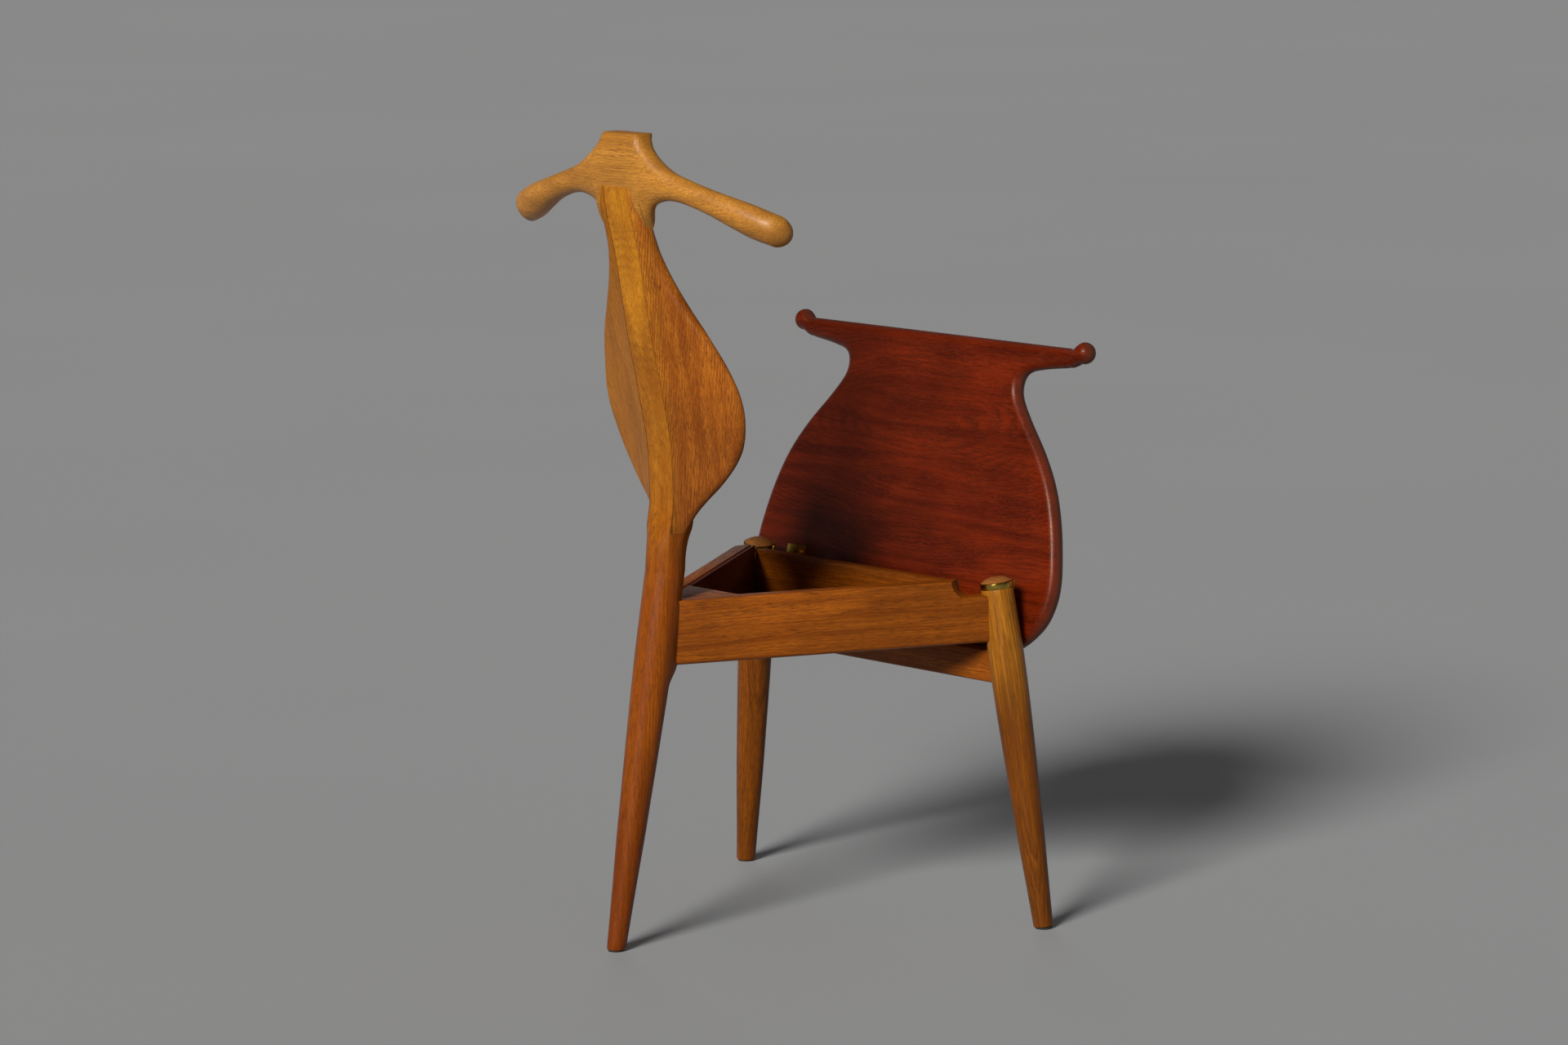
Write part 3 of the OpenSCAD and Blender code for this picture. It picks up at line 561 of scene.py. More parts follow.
def along_leg(side, r, t, a):
    """A point at radius r and angle a round a front leg's axis, t above its foot."""
    up = LEG_RUN.normalized()
    across = Vector((up.z, 0, -up.x)).normalized()
    deep = up.cross(across)
    p = Vector((FRONT_FOOT[0], FRONT_FOOT[1], 0)) + up * t + (across * math.cos(a) + deep * math.sin(a)) * r
    return (side * p.x, p.y, p.z)


def turned(name, side, profile, start="face", end="face", sides=64):
    """A piece turned round a front leg's axis: radius and height of each station."""
    rings = [[along_leg(side, r, t, math.tau * i / sides) for i in range(sides)] for r, t in profile]
    return loft(name, rings, start, end)


def front_r(f):
    """Radius of the front leg, which draws in again towards its head."""
    return mix(FOOT_R, LEG_R, curve(LEG_FORM, f)) - (LEG_R - HEAD_R) * ease((f - 0.78) / 0.22)


def leg_at(z):
    f = z / SEAT_HEIGHT
    return mix(FRONT_FOOT[0], FRONT_HEAD[0], f), mix(FRONT_FOOT[1], FRONT_HEAD[1], f)


def front_leg(name, side):
    foot = [(FOOT_R - 1.8, PAD_H), (FOOT_R - 0.6, PAD_H + 0.6), (FOOT_R - 0.05, PAD_H + 1.8)]
    body = [(front_r(t / RING_BASE), t) for t in steps(3, RING_BASE - 1.2, 66)]
    head = [
        (HEAD_R - 0.15, RING_BASE - 0.6), (HEAD_R - 0.7, RING_BASE - 0.05), (SPIGOT_R + 0.2, RING_BASE),
        (SPIGOT_R, RING_BASE + 0.3), (SPIGOT_R, LEG_LENGTH - 4.3), (SPIGOT_R - 0.4, LEG_LENGTH - 4),
    ]
    piece = turned(name, side, foot + body + head)
    # the foot is cut level on its pad
    for v in piece.data.vertices:
        if v.co.z < FOOT_CUT * MM:
            v.co.z = max(v.co.z, PAD_H * MM)
    return smooth(piece)


def leg_ring_band(name, side):
    low, high = RING_BASE + 0.05, RING_BASE + RING_H - 0.05
    profile = [
        (SPIGOT_R + 0.02, low), (RING_R - 0.5, low), (RING_R - 0.12, low + 0.15), (RING_R, low + 0.55),
        (RING_R, high - 0.55), (RING_R - 0.12, high - 0.15), (RING_R - 0.5, high), (SPIGOT_R + 0.02, high),
    ]
    return smooth(turned(name, side, profile), 50)


def leg_cap(name, side):
    r = RING_R - 0.8
    base = LEG_LENGTH - CAP_H
    profile = [
        (SPIGOT_R + 0.02, base + 0.05), (r - 1.2, base + 0.05), (r - 0.5, base + 0.25),
        (r - 0.12, base + 0.8), (r * 0.998, base + 1.2),
    ]
    # a hair lower than the solid, so that the closed seat only just touches it
    for degrees in CAP_TURNS:
        x = r * math.cos(math.radians(degrees))
        profile.append((x, base + 0.98 * dome_height(x, r)))
    return smooth(turned(name, side, profile, end="point"), 60)


def dome_height(x, r):
    """A domed button, a little fuller at its shoulder than a plain ball's slice."""
    dome = (r ** 2 + CAP_H ** 2) / (2 * CAP_H)
    ball = CAP_H - dome + math.sqrt(dome ** 2 - x ** 2)
    return mix(ball, CAP_H * (1 - (x / r) ** 3.2) ** 0.8, 0.45)


# ---- Seat frame and storage box -----------------------------------------------------

RAIL_H, RAIL_T, RAIL_OUT = 76, 17, 11.5
RAIL_IN = RAIL_OUT - RAIL_T
RAIL_X0 = leg_at(SEAT_HEIGHT - RAIL_H / 2)[0]
RAIL_V0 = leg_at(SEAT_HEIGHT - RAIL_H / 2)[1] - FRONT_HEAD[1]
APEX_V = axis_y(REAR_TOP_Z - RAIL_H / 2) - FRONT_HEAD[1]
RAIL_ANGLE = math.atan2(RAIL_X0, APEX_V - RAIL_V0)
RAIL_START = 8
# 4 mm short of the place where the inner faces meet
RAIL_STOP = math.hypot(RAIL_X0, APEX_V - RAIL_V0) + RAIL_IN / math.tan(RAIL_ANGLE) - 4
STEP_FOOT, STEP_H, STEP_Q, STEP_L = 24, 20, 45, 17
STEP_SLANT = math.tan(math.radians(32))
CROSS_Z, CROSS_H, CROSS_T = 290, 38, 19
BOX_V, LINING_V, BLOCK_V = 24.5, 36, 262  # fronts of the box, of its lining and of the corner blocks
BOX_END = 173
LINING_T = 5


def rail_x(v, off):
    return RAIL_X0 - (v - RAIL_V0) * math.tan(RAIL_ANGLE) + off / math.cos(RAIL_ANGLE)


def along_rail(side, out, q, h):
    """q runs along the right rail from the front leg, out is its distance from the line of the legs."""
    x = RAIL_X0 + out * math.cos(RAIL_ANGLE) - q * math.sin(RAIL_ANGLE)
    v = RAIL_V0 + out * math.sin(RAIL_ANGLE) + q * math.cos(RAIL_ANGLE)
    p = on_frame(x, v, h)
    return (side * p[0], p[1], p[2])


def side_rail(name, side):
    """Board with a step hollowed out beside the leg; the step runs forward on its way inward."""
    turns = [math.radians(9 * i) for i in range(11)]
    hollow = [(STEP_Q + STEP_L * math.sin(a), -STEP_H * math.cos(a)) for a in turns]
    front = [(RAIL_START, -RAIL_H), (RAIL_START, -STEP_H), (STEP_FOOT, -STEP_H)]
    side_view = front + hollow + [(RAIL_STOP, 0), (RAIL_STOP, -RAIL_H)]
    outline = [along_rail(side, RAIL_OUT, q, h) for q, h in side_view]
    outer, inner = along_rail(side, RAIL_OUT, RAIL_START, 0), along_rail(side, RAIL_IN, RAIL_START, 0)
    piece = board(name, outline, way_to(outer, inner), 0)
    pick_only(piece)
    bpy.ops.object.mode_set(mode="EDIT")
    bpy.ops.mesh.select_mode(type="VERT")
    mesh = bmesh.from_edit_mesh(piece.data)
    shift = {}
    for q, h in hollow:
        straight = metres(along_rail(side, RAIL_IN, q, h))
        for v in mesh.verts:
            if (v.co - straight).length < 1e-5:
                shift[v] = metres(along_rail(side, RAIL_IN, q - RAIL_T * STEP_SLANT, h))
    for v, place in shift.items():
        v.co = place
    mesh.normal_update()

    def place(co):
        return frame_place(side, co)

    def lower(a, b):
        return a[2] < -RAIL_H + 0.5 and b[2] < -RAIL_H + 0.5 and abs(a[1] - b[1]) > 60

    def on_ledge(c):
        near = RAIL_START - 0.1 < c[1] < STEP_Q + 8
        return near and abs(c[0] - RAIL_OUT) < 0.1 and c[2] > -STEP_H - 0.1

    def ledge(a, b):
        return on_ledge(a) and on_ledge(b) and abs(a[1] - b[1]) > 0.5

    # lower edges, the ledge's outer edge and the nose of the step are rounded
    pick_edges(mesh, place, lower)
    round_off(5)
    pick_edges(bmesh.from_edit_mesh(piece.data), place, ledge)
    round_off(3.5, 5)
    close_up(piece)
    return smooth(eased(piece, 0.9), 30)


def frame_place(side, co):
    """Where a point lies for the rail: outward, along and above its top, in millimetres."""
    x, y, z = side * co.x * 1000, co.y * 1000 - FRONT_HEAD[1], co.z * 1000 - SEAT_HEIGHT
    v, h = y * math.cos(FALL) - z * math.sin(FALL), y * math.sin(FALL) + z * math.cos(FALL)
    dx, dv = x - RAIL_X0, v - RAIL_V0
    ca, sa = math.cos(RAIL_ANGLE), math.sin(RAIL_ANGLE)
    return dx * ca + dv * sa, dv * ca - dx * sa, h


def front_rail():
    low, high = CROSS_Z, CROSS_Z + CROSS_H
    x, y = leg_at((low + high) / 2)
    half = x - 8
    front, rear = y - CROSS_T / 2, y + CROSS_T / 2
    outline = [(-half, front, high), (-half, rear, high), (-half, rear, low), (-half, front, low)]

    def long_low(a, b):
        return a.z < low + 1 and b.z < low + 1 and abs(a.x - b.x) > 100

    return smooth(board("front_cross_rail", outline, (2 * half, 0, 0), 1.1, long_low, 4), 30)


def box_front():
    w, end = rail_x(LINING_V, RAIL_IN) - 0.2, BOX_END
    top, low, step = -5.5, -RAIL_H + 0.8, -STEP_H
    face = [(-w, low), (-w, step), (-end, step), (-end, top), (end, top), (end, step), (w, step), (w, low)]
    outline = [on_frame(x, LINING_V, h) for x, h in face]
    thick = way_to(on_frame(0, LINING_V, 0), on_frame(0, BOX_V, 0))
    piece = board("storage_box_front", outline, thick, 0)
    # above the ledges the ends are cut on the slant
    front_y = on_frame(0, BOX_V, step)[1] + 1.5
    for v in piece.data.vertices:
        x, y, z = v.co * 1000
        if y < front_y and abs(abs(x) - end) < 0.1:
            v.co.x = math.copysign(end - 10, x) * MM
    return smooth(eased(piece, 0.7), 30)


def plan_board(name, points, low, high, ease_by):
    """A board drawn in plan on the frame's plane, from low up to high."""
    outline = [on_frame(x, v, low) for x, v in points]
    thick = way_to(on_frame(0, 0, low), on_frame(0, 0, high))
    return smooth(board(name, outline, thick, ease_by), 30)


def box_side(name, side):
    inner = RAIL_IN - LINING_T
    points = [
        (rail_x(LINING_V, inner), LINING_V), (rail_x(LINING_V, RAIL_IN) - 0.25, LINING_V),
        (rail_x(BLOCK_V, RAIL_IN) - 0.25, BLOCK_V), (rail_x(BLOCK_V, inner), BLOCK_V),
    ]
    return plan_board(name, [(side * x, v) for x, v in points], -RAIL_H + 5.8, -1.2, 0.5)


def corner_block(name, side):
    v1 = min(APEX_V - 17, RAIL_V0 + (RAIL_X0 + RAIL_IN / math.cos(RAIL_ANGLE) - 2) / math.tan(RAIL_ANGLE))
    points = [(0.15, BLOCK_V), (rail_x(BLOCK_V, RAIL_IN), BLOCK_V), (rail_x(v1, RAIL_IN), v1), (0.15, v1)]
    return plan_board(name, [(side * x, v) for x, v in points], -RAIL_H + 0.8, -0.8, 0.6)


# ---- Seat board with its trouser bar ------------------------------------------------

SEAT_R = 11
SEAT_UNDER = 24.8
SEAT_T = 10.906  # half its thickness
SEAT_MID = SEAT_UNDER + SEAT_T
ARM_X = 216  # from here out the trouser bar is a round rod
BAR_U, BALL_X, BALL_RISE, BALL_R = 289, 239, 7.3, 13
BALL_TURNS = (10, 20, 30, 40, 50, 59, 67, 74, 80, 85)  # degrees round the ball
LIP = 81  # from the hinge line forward to the seat's edge
FORM_LENGTH = 359  # of SEAT_FORM, up to the middle of the bar
COLUMNS, TURNS = 48, 14  # faces across the seat, and round its rolled edge
# half width of the seat's flat, and distance from its front edge
SEAT_FORM = [
    (60, 0.2), (110, 1.2), (148, 3.8), (178, 9), (208, 21), (233, 44), (243.5, 68), (245.5, 92), (241, 121),
    (231, 160), (215, 199), (191, 235.5), (159, 273), (139.5, 300), (135, 320), (140.5, 336.5), (154, 346.5),
    (174, 351.5), (196, 355), (216, 357.6),
]


def dish(x, u):
    """Depth of the hollow worked into the upper face."""
    t = math.hypot(x, u - BAR_U * 0.28) / 125
    return 5 * (1 - t * t) ** 1.3 if t < 1 else 0


def seat_half_outline():
    """Right edge line of the flat, from the front to the root of the bar's round end."""
    lip = SEAT_R - LIP
    scale = (BAR_U - lip) / FORM_LENGTH
    points = [(x, lip + u * scale) for x, u in SEAT_FORM]
    return spline(points + [(BALL_X - 9, BAR_U + 1.5)], 4)[:-4]


def rod_ring(x, angles):
    """Section of the bar's end at x, which swells and rises into the ball."""
    cap = x > BALL_X
    f = ease((x - ARM_X - 5) / (BALL_X - ARM_X - 6))
    r = math.sqrt(max(BALL_R ** 2 - (x - BALL_X) ** 2, 0)) if cap else mix(SEAT_R, BALL_R, f)
    middle = mix(BAR_U - 0.7, BAR_U + BALL_RISE, f)
    return [(x, middle + r * math.cos(a), SEAT_MID + r * math.sin(a)) for a in angles]


def seat_net(side_line):
    """The flat of the seat as a net: its rows, its points and faces, and what finds a point's number."""
    rows = side_line + [(ARM_X, BAR_U)]
    lines = [[(w * (2 * c / COLUMNS - 1), u) for c in range(COLUMNS + 1)] for w, u in rows]
    faces, points, index = [], [], {}

    def point(p):
        key = (round(p[0], 3), round(p[1], 3))
        if key not in index:
            index[key] = len(points)
            points.append(p)
        return index[key]

    for a, b in zip(lines, lines[1:]):
        for c in range(COLUMNS):
            faces.append([point(a[c]), point(a[c + 1]), point(b[c + 1]), point(b[c])])
    return lines, points, faces, point


def ways_out(edge, rear):
    """The way out of the seat at each point of its edge line."""
    out = []
    for i, p in enumerate(edge):
        a, b = edge[i - 1], edge[(i + 1) % len(edge)]
        if p in rear:
            n = Vector((0, 1))
        elif abs(p[0]) > ARM_X - 0.01 and p[1] > BAR_U - 5:
            n = Vector((0, -1))
        else:
            n = Vector((b[1] - a[1], a[0] - b[0])).normalized()
        out.append(n)
    return out


def roll_edge(piece, edge, out, order, rear_set):
    """Rolls the border of the net over to the underside; the bar's ends stay open."""
    line = order
    for k in range(1, TURNS + 1):
        a = math.pi / 2 - math.pi * k / TURNS
        bm = bmesh.from_edit_mesh(piece.data)
        bm.verts.ensure_lookup_table()
        pick(bm, [])
        place = {i: n for n, i in enumerate(line)}
        for e in bm.edges:
            i, j = e.verts[0].index, e.verts[1].index
            if i in place and j in place and (place[i] - place[j]) % len(line) in (1, len(line) - 1):
                if (order[place[i]] in rear_set) == (order[place[j]] in rear_set):
                    e.select_set(True)
        bm, new = extrude_line(piece, line)
        reach, height = SEAT_R * math.cos(a), SEAT_T * math.sin(a)
        for v, p, n in zip(new, edge, out):
            v.co = metres(on_seat(p[0] + n.x * reach, p[1] + n.y * reach, SEAT_MID + height))
        bm.verts.index_update()
        line = [v.index for v in new]


def add_underside(piece, points, faces):
    """Closes the seat from below by a flat face like the upper one."""
    under = bpy.data.meshes.new("underside")
    flat = [metres(on_seat(x, u, SEAT_MID - SEAT_T)) for x, u in points]
    under.from_pydata(flat, [], [f[::-1] for f in faces])
    lower = bpy.data.objects.new("underside", under)
    bpy.context.scene.collection.objects.link(lower)
    pick_only(piece)
    lower.select_set(True)
    bpy.ops.object.join()
    bpy.ops.object.mode_set(mode="EDIT")
    bpy.ops.mesh.select_all(action="SELECT")
    bpy.ops.mesh.remove_doubles(threshold=2e-5)


def renew_edit(piece):
    """Writes the edited mesh back and opens it again."""
    bpy.ops.object.mode_set(mode="OBJECT")
    bpy.ops.object.mode_set(mode="EDIT")


def draw_ends(piece):
    """Draws the bar's two round ends out of the open rings that are left."""
    centre = metres(on_seat(0, BAR_U - 0.7, SEAT_MID))
    origin = metres(on_seat(0, 0, 0))
    across = metres(on_seat(0, 1, 0)) - origin
    up = metres(on_seat(0, 0, 1)) - origin
    stations = steps(ARM_X + 2, BALL_X, 14)
    stations += [BALL_X + BALL_R * math.sin(math.radians(d)) for d in BALL_TURNS]
    for side in (1, -1):
        bm = bmesh.from_edit_mesh(piece.data)
        bm.verts.index_update()
        loop = [v for v in bm.verts if v.is_boundary and side * v.co.x > 0]
        angle = {v.index: math.atan2((v.co - centre).dot(up), (v.co - centre).dot(across)) for v in loop}
        line = [v.index for v in sorted(loop, key=lambda v: angle[v.index])]
        angles = [angle[i] for i in line]
        bm.verts.ensure_lookup_table()
        pick(bm, [bm.verts[i] for i in line])
        for x in stations:
            bm, new = extrude_line(piece, line)
            for v, (px, pu, ph) in zip(new, rod_ring(x, angles)):
                v.co = metres(on_seat(side * px, pu, ph))
            bm.verts.index_update()
            line = [v.index for v in new]
        bmesh.update_edit_mesh(piece.data)
        bpy.ops.mesh.merge(type="CENTER")
        renew_edit(piece)


def seat_board():
    """The upper face is drawn as one net, then its border is rolled over to the underside."""
    right = seat_half_outline()
    lines, points, faces, point = seat_net(right)
    rear = lines[-1][::-1]
    left = [(-x, u) for x, u in reversed(right)]
    edge = right + rear + left + lines[0][1:-1]
    bpy.ops.object.select_all(action="DESELECT")
    mesh = bpy.data.meshes.new("seat_with_trouser_bar")
    upper = [metres(on_seat(x, u, SEAT_MID + SEAT_T - dish(x, u))) for x, u in points]
    mesh.from_pydata(upper, [], faces)
    piece = bpy.data.objects.new("seat_with_trouser_bar", mesh)
    bpy.context.scene.collection.objects.link(piece)
    pick_only(piece)
    bpy.ops.object.mode_set(mode="EDIT")
    bpy.ops.mesh.select_mode(type="VERT")
    roll_edge(piece, edge, ways_out(edge, rear), [point(p) for p in edge], {point(p) for p in rear})
    bpy.ops.object.mode_set(mode="OBJECT")
    add_underside(piece, points, faces)
    renew_edit(piece)
    draw_ends(piece)
    close_up(piece)
    return smooth(piece, 60)


# ---- Materials ----------------------------------------------------------------------

SOFT = {"interpolation_type": "SMOOTHSTEP"}
TINTS = {"data_type": "RGBA"}
SHADES = {"data_type": "RGBA", "blend_type": "MULTIPLY"}


def linear(code):
    """sRGB hex value as a linear colour."""
    parts = [int(code[i:i + 2], 16) / 255 for i in (1, 3, 5)]
    return tuple(c / 12.92 if c <= 0.04045 else ((c + 0.055) / 1.055) ** 2.4 for c in parts) + (1,)


def add(tree, kind, links=(), **settings):
    """Adds a node with its settings, and a value or a link for each socket named."""
    node = tree.nodes.new("ShaderNode" + kind)
    for key, value in settings.items():
        setattr(node, key, value)
    for key, value in dict(links).items():
        if isinstance(value, bpy.types.NodeSocket):
            tree.links.new(value, node.inputs[key])
        else:
            node.inputs[key].default_value = value
    return node


def new_material(name):
    material = bpy.data.materials.new(name)
    material.use_nodes = True
    material.node_tree.nodes.clear()
    return material, material.node_tree


def wandering_fibres(tree, here, wander):
    """Place along the fibres, which wander slowly, wander mm to either side over a hand's length."""
    sway = add(tree, "VectorMath", {0: here, 1: (2.6, 11, 11)}, operation="MULTIPLY")
    bend = add(tree, "TexNoise", {"Vector": sway.outputs[0], "Scale": 1.0, "Detail": 2.0, "Roughness": 0.45})
    centred = add(tree, "VectorMath", {0: bend.outputs["Color"], 1: (0.5, 0.5, 0.5)}, operation="SUBTRACT")
    aside = (0, wander * 0.006, wander * 0.006)
    moved = add(tree, "VectorMath", {0: centred.outputs[0], 1: aside, 2: here}, operation="MULTIPLY_ADD")
    return moved.outputs[0]


def year_lines(tree, fibre, ring, pith, taper):
    """Growth rings round the heart; the log tapers, so a board shows faint arches that come and go."""
    heart = {0: fibre, 1: (taper, 1, 1), 2: (0, pith[0], pith[1])}
    log = add(tree, "VectorMath", heart, operation="MULTIPLY_ADD")
    away = add(tree, "VectorMath", {0: log.outputs[0]}, operation="LENGTH")
    ripple = add(tree, "VectorMath", {0: fibre, 1: (7, 70, 70)}, operation="MULTIPLY")
    wave = add(tree, "TexNoise", {"Vector": ripple.outputs[0], "Scale": 1.0, "Detail": 3.0, "Roughness": 0.6})
    swell = add(tree, "Math", {0: wave.outputs["Fac"], 1: 2.2}, operation="MULTIPLY")
    count = {0: away.outputs["Value"], 1: 1000 / ring, 2: swell.outputs[0]}
    years = add(tree, "Math", count, operation="MULTIPLY_ADD")
    year = add(tree, "Math", {0: years.outputs[0]}, operation="FRACT").outputs[0]
    # late wood darkens slowly through the year and ends sharply
    rise = add(tree, "MapRange", {"Value": year, "From Min": 0.15, "From Max": 0.75}, **SOFT)
    ending = {"Value": year, "From Min": 0.78, "From Max": 1.0, "To Min": 1.0, "To Max": 0.0}
    fall = add(tree, "MapRange", ending, **SOFT)
    late = add(tree, "Math", {0: rise.outputs[0], 1: fall.outputs[0]}, operation="MULTIPLY")
    stretch = add(tree, "VectorMath", {0: fibre, 1: (6, 24, 24)}, operation="MULTIPLY")
    slow = {"Vector": stretch.outputs[0], "Scale": 1.0, "Detail": 2.0, "Roughness": 0.5}
    seen = add(tree, "TexNoise", slow)
    shown = {"Value": seen.outputs["Fac"], "From Min": 0.38, "From Max": 0.62, "To Min": 0.25}
    strong = add(tree, "MapRange", shown, **SOFT)
    return add(tree, "Math", {0: late.outputs[0], 1: strong.outputs[0]}, operation="MULTIPLY").outputs[0]


def pore_marks(tree, fibre, line, fine):
    """Pores, really 0.2 mm wide, drawn 0.7 mm wide and 12 mm long, and finer hairs, so that they show."""
    short = add(tree, "VectorMath", {0: fibre, 1: (85, 1350 * fine, 1350 * fine)}, operation="MULTIPLY")
    pits = add(tree, "TexNoise", {"Vector": short.outputs[0], "Scale": 1.0, "Detail": 2.0, "Roughness": 0.55})
    shorter = add(tree, "VectorMath", {0: fibre, 1: (90, 2100, 2100)}, operation="MULTIPLY")
    finest = {"Vector": shorter.outputs[0], "Scale": 1.0, "Detail": 1.0, "Roughness": 0.5}
    hairs = add(tree, "TexNoise", finest)
    pit = add(tree, "MapRange", {"Value": pits.outputs["Fac"], "From Min": 0.49, "From Max": 0.64}, **SOFT)
    along = add(tree, "MapRange", {"Value": line, "To Min": 0.6}, **SOFT)
    flecks = add(tree, "Math", {0: pit.outputs[0], 1: along.outputs[0]}, operation="MULTIPLY")
    return flecks.outputs[0], hairs.outputs["Fac"]


def figured(tree, tones, band, bundle, line, figure, hair, deep):
    """Light and middle wood in bands and bundles, late wood darker, pores last."""
    light, middle, dark, pore = (linear(t) for t in tones)
    ground = add(tree, "Mix", {0: band, 6: light, 7: middle}, **TINTS)
    drawn = add(tree, "Mix", {0: bundle, 6: ground.outputs[2], 7: dark}, **TINTS)
    ringed = add(tree, "Math", {0: line, 1: figure}, operation="MULTIPLY")
    grown = add(tree, "Mix", {0: ringed.outputs[0], 6: drawn.outputs[2], 7: dark}, **TINTS)
    haired = add(tree, "Mix", {0: hair, 6: grown.outputs[2], 7: dark}, **TINTS)
    return add(tree, "Mix", {0: deep, 6: haired.outputs[2], 7: pore}, **TINTS).outputs[2]


def darker_foot(tree, tone, height, bottom, top, tint):
    """Darker towards the bottom: the tone is multiplied by tint below bottom, and less and less up to top."""
    near = {"Value": height, "From Min": bottom * MM, "From Max": top * MM, "To Min": 1.0, "To Max": 0.0}
    down = add(tree, "MapRange", near, **SOFT)
    return add(tree, "Mix", {0: down.outputs[0], 6: tone, 7: linear(tint)}, **SHADES).outputs[2]


def painted_edge_sheen(tree, tone, normal, face, tint):
    """Painted highlight: the key lamp's broad, greyish sheen painted into the colour of the rolled edge."""
    side = add(tree, "VectorMath", {0: normal, 1: tuple(face)}, operation="DOT_PRODUCT")
    flat = add(tree, "Math", {0: side.outputs["Value"]}, operation="ABSOLUTE")
    turned_away = {"Value": flat.outputs[0], "From Min": 0.2, "From Max": 0.9, "To Min": 0.7, "To Max": 0.0}
    rolled = add(tree, "MapRange", turned_away, **SOFT)
    return add(tree, "Mix", {0: rolled.outputs[0], 6: tone, 7: linear(tint)}, **TINTS).outputs[2]


def pale_wood_and_painted_light(tree, tone, out, height, bottom, top, narrow, wide, gain):
    """Paler middle of the back, narrow at bottom, wide at top: partly paler wood, partly painted light."""
    limits = {"From Min": bottom * MM, "From Max": top * MM, "To Min": narrow * MM, "To Max": wide * MM}
    reach = add(tree, "MapRange", {"Value": height, **limits})
    inside = add(tree, "Math", {0: out, 1: reach.outputs[0]}, operation="SUBTRACT")
    border = {"Value": inside.outputs[0], "From Min": -0.006, "From Max": 0.006, "To Min": 1.0, "To Max": 0.0}
    share = add(tree, "MapRange", border, **SOFT)
    bright = add(tree, "VectorMath", {0: tone, 1: gain}, operation="MULTIPLY")
    return add(tree, "Mix", {0: share.outputs[0], 6: tone, 7: bright.outputs[0]}, **TINTS).outputs[2]


def feathered_cheek(tree, tone, out, height, bottom, top, tint):
    """The wings' wood is feathered into the cheeks of the leg under them."""
    # the border leans inwards by 1 in 20 on its way up
    lean = add(tree, "Math", {0: height, 1: -0.05, 2: 0.0427}, operation="MULTIPLY_ADD")
    side = add(tree, "Math", {0: out, 1: lean.outputs[0]}, operation="SUBTRACT")
    border = {"Value": side.outputs[0], "From Min": -0.4 * MM, "From Max": 0.4 * MM}
    beside = add(tree, "MapRange", border, **SOFT)
    upper = add(tree, "MapRange", {"Value": height, "From Min": bottom * MM, "From Max": top * MM}, **SOFT)
    wing_end = {"From Min": (WING_Z + 0.4) * MM, "From Max": (WING_Z + 0.8) * MM}
    under = add(tree, "MapRange", {"Value": height, **wing_end, "To Min": 1.0, "To Max": 0.0}, **SOFT)
    both = add(tree, "Math", {0: beside.outputs[0], 1: upper.outputs[0]}, operation="MULTIPLY")
    there = add(tree, "Math", {0: both.outputs[0], 1: under.outputs[0]}, operation="MULTIPLY")
    return add(tree, "Mix", {0: there.outputs[0], 6: tone, 7: linear(tint)}, **SHADES).outputs[2]


def glue_line(tree, tone, out, height, strength):
    """The glue line between strip and wing, really a hair, drawn 0.7 mm wide so that it shows."""
    off = add(tree, "Math", {0: out, 1: STRIP_X * MM}, operation="SUBTRACT")
    gap = add(tree, "Math", {0: off.outputs[0]}, operation="ABSOLUTE")
    width = {"From Min": 0.2 * MM, "From Max": 0.9 * MM, "To Min": strength, "To Max": 0.0}
    near = add(tree, "MapRange", {"Value": gap.outputs[0], **width}, **SOFT)
    start = {"From Min": (WING_Z + 0.5) * MM, "From Max": (WING_Z + 1.5) * MM}
    above = add(tree, "MapRange", {"Value": height, **start}, **SOFT)
    glued = add(tree, "Math", {0: near.outputs[0], 1: above.outputs[0]}, operation="MULTIPLY")
    return add(tree, "Mix", {0: glued.outputs[0], 6: tone, 7: linear("#2b1405")}, **TINTS).outputs[2]


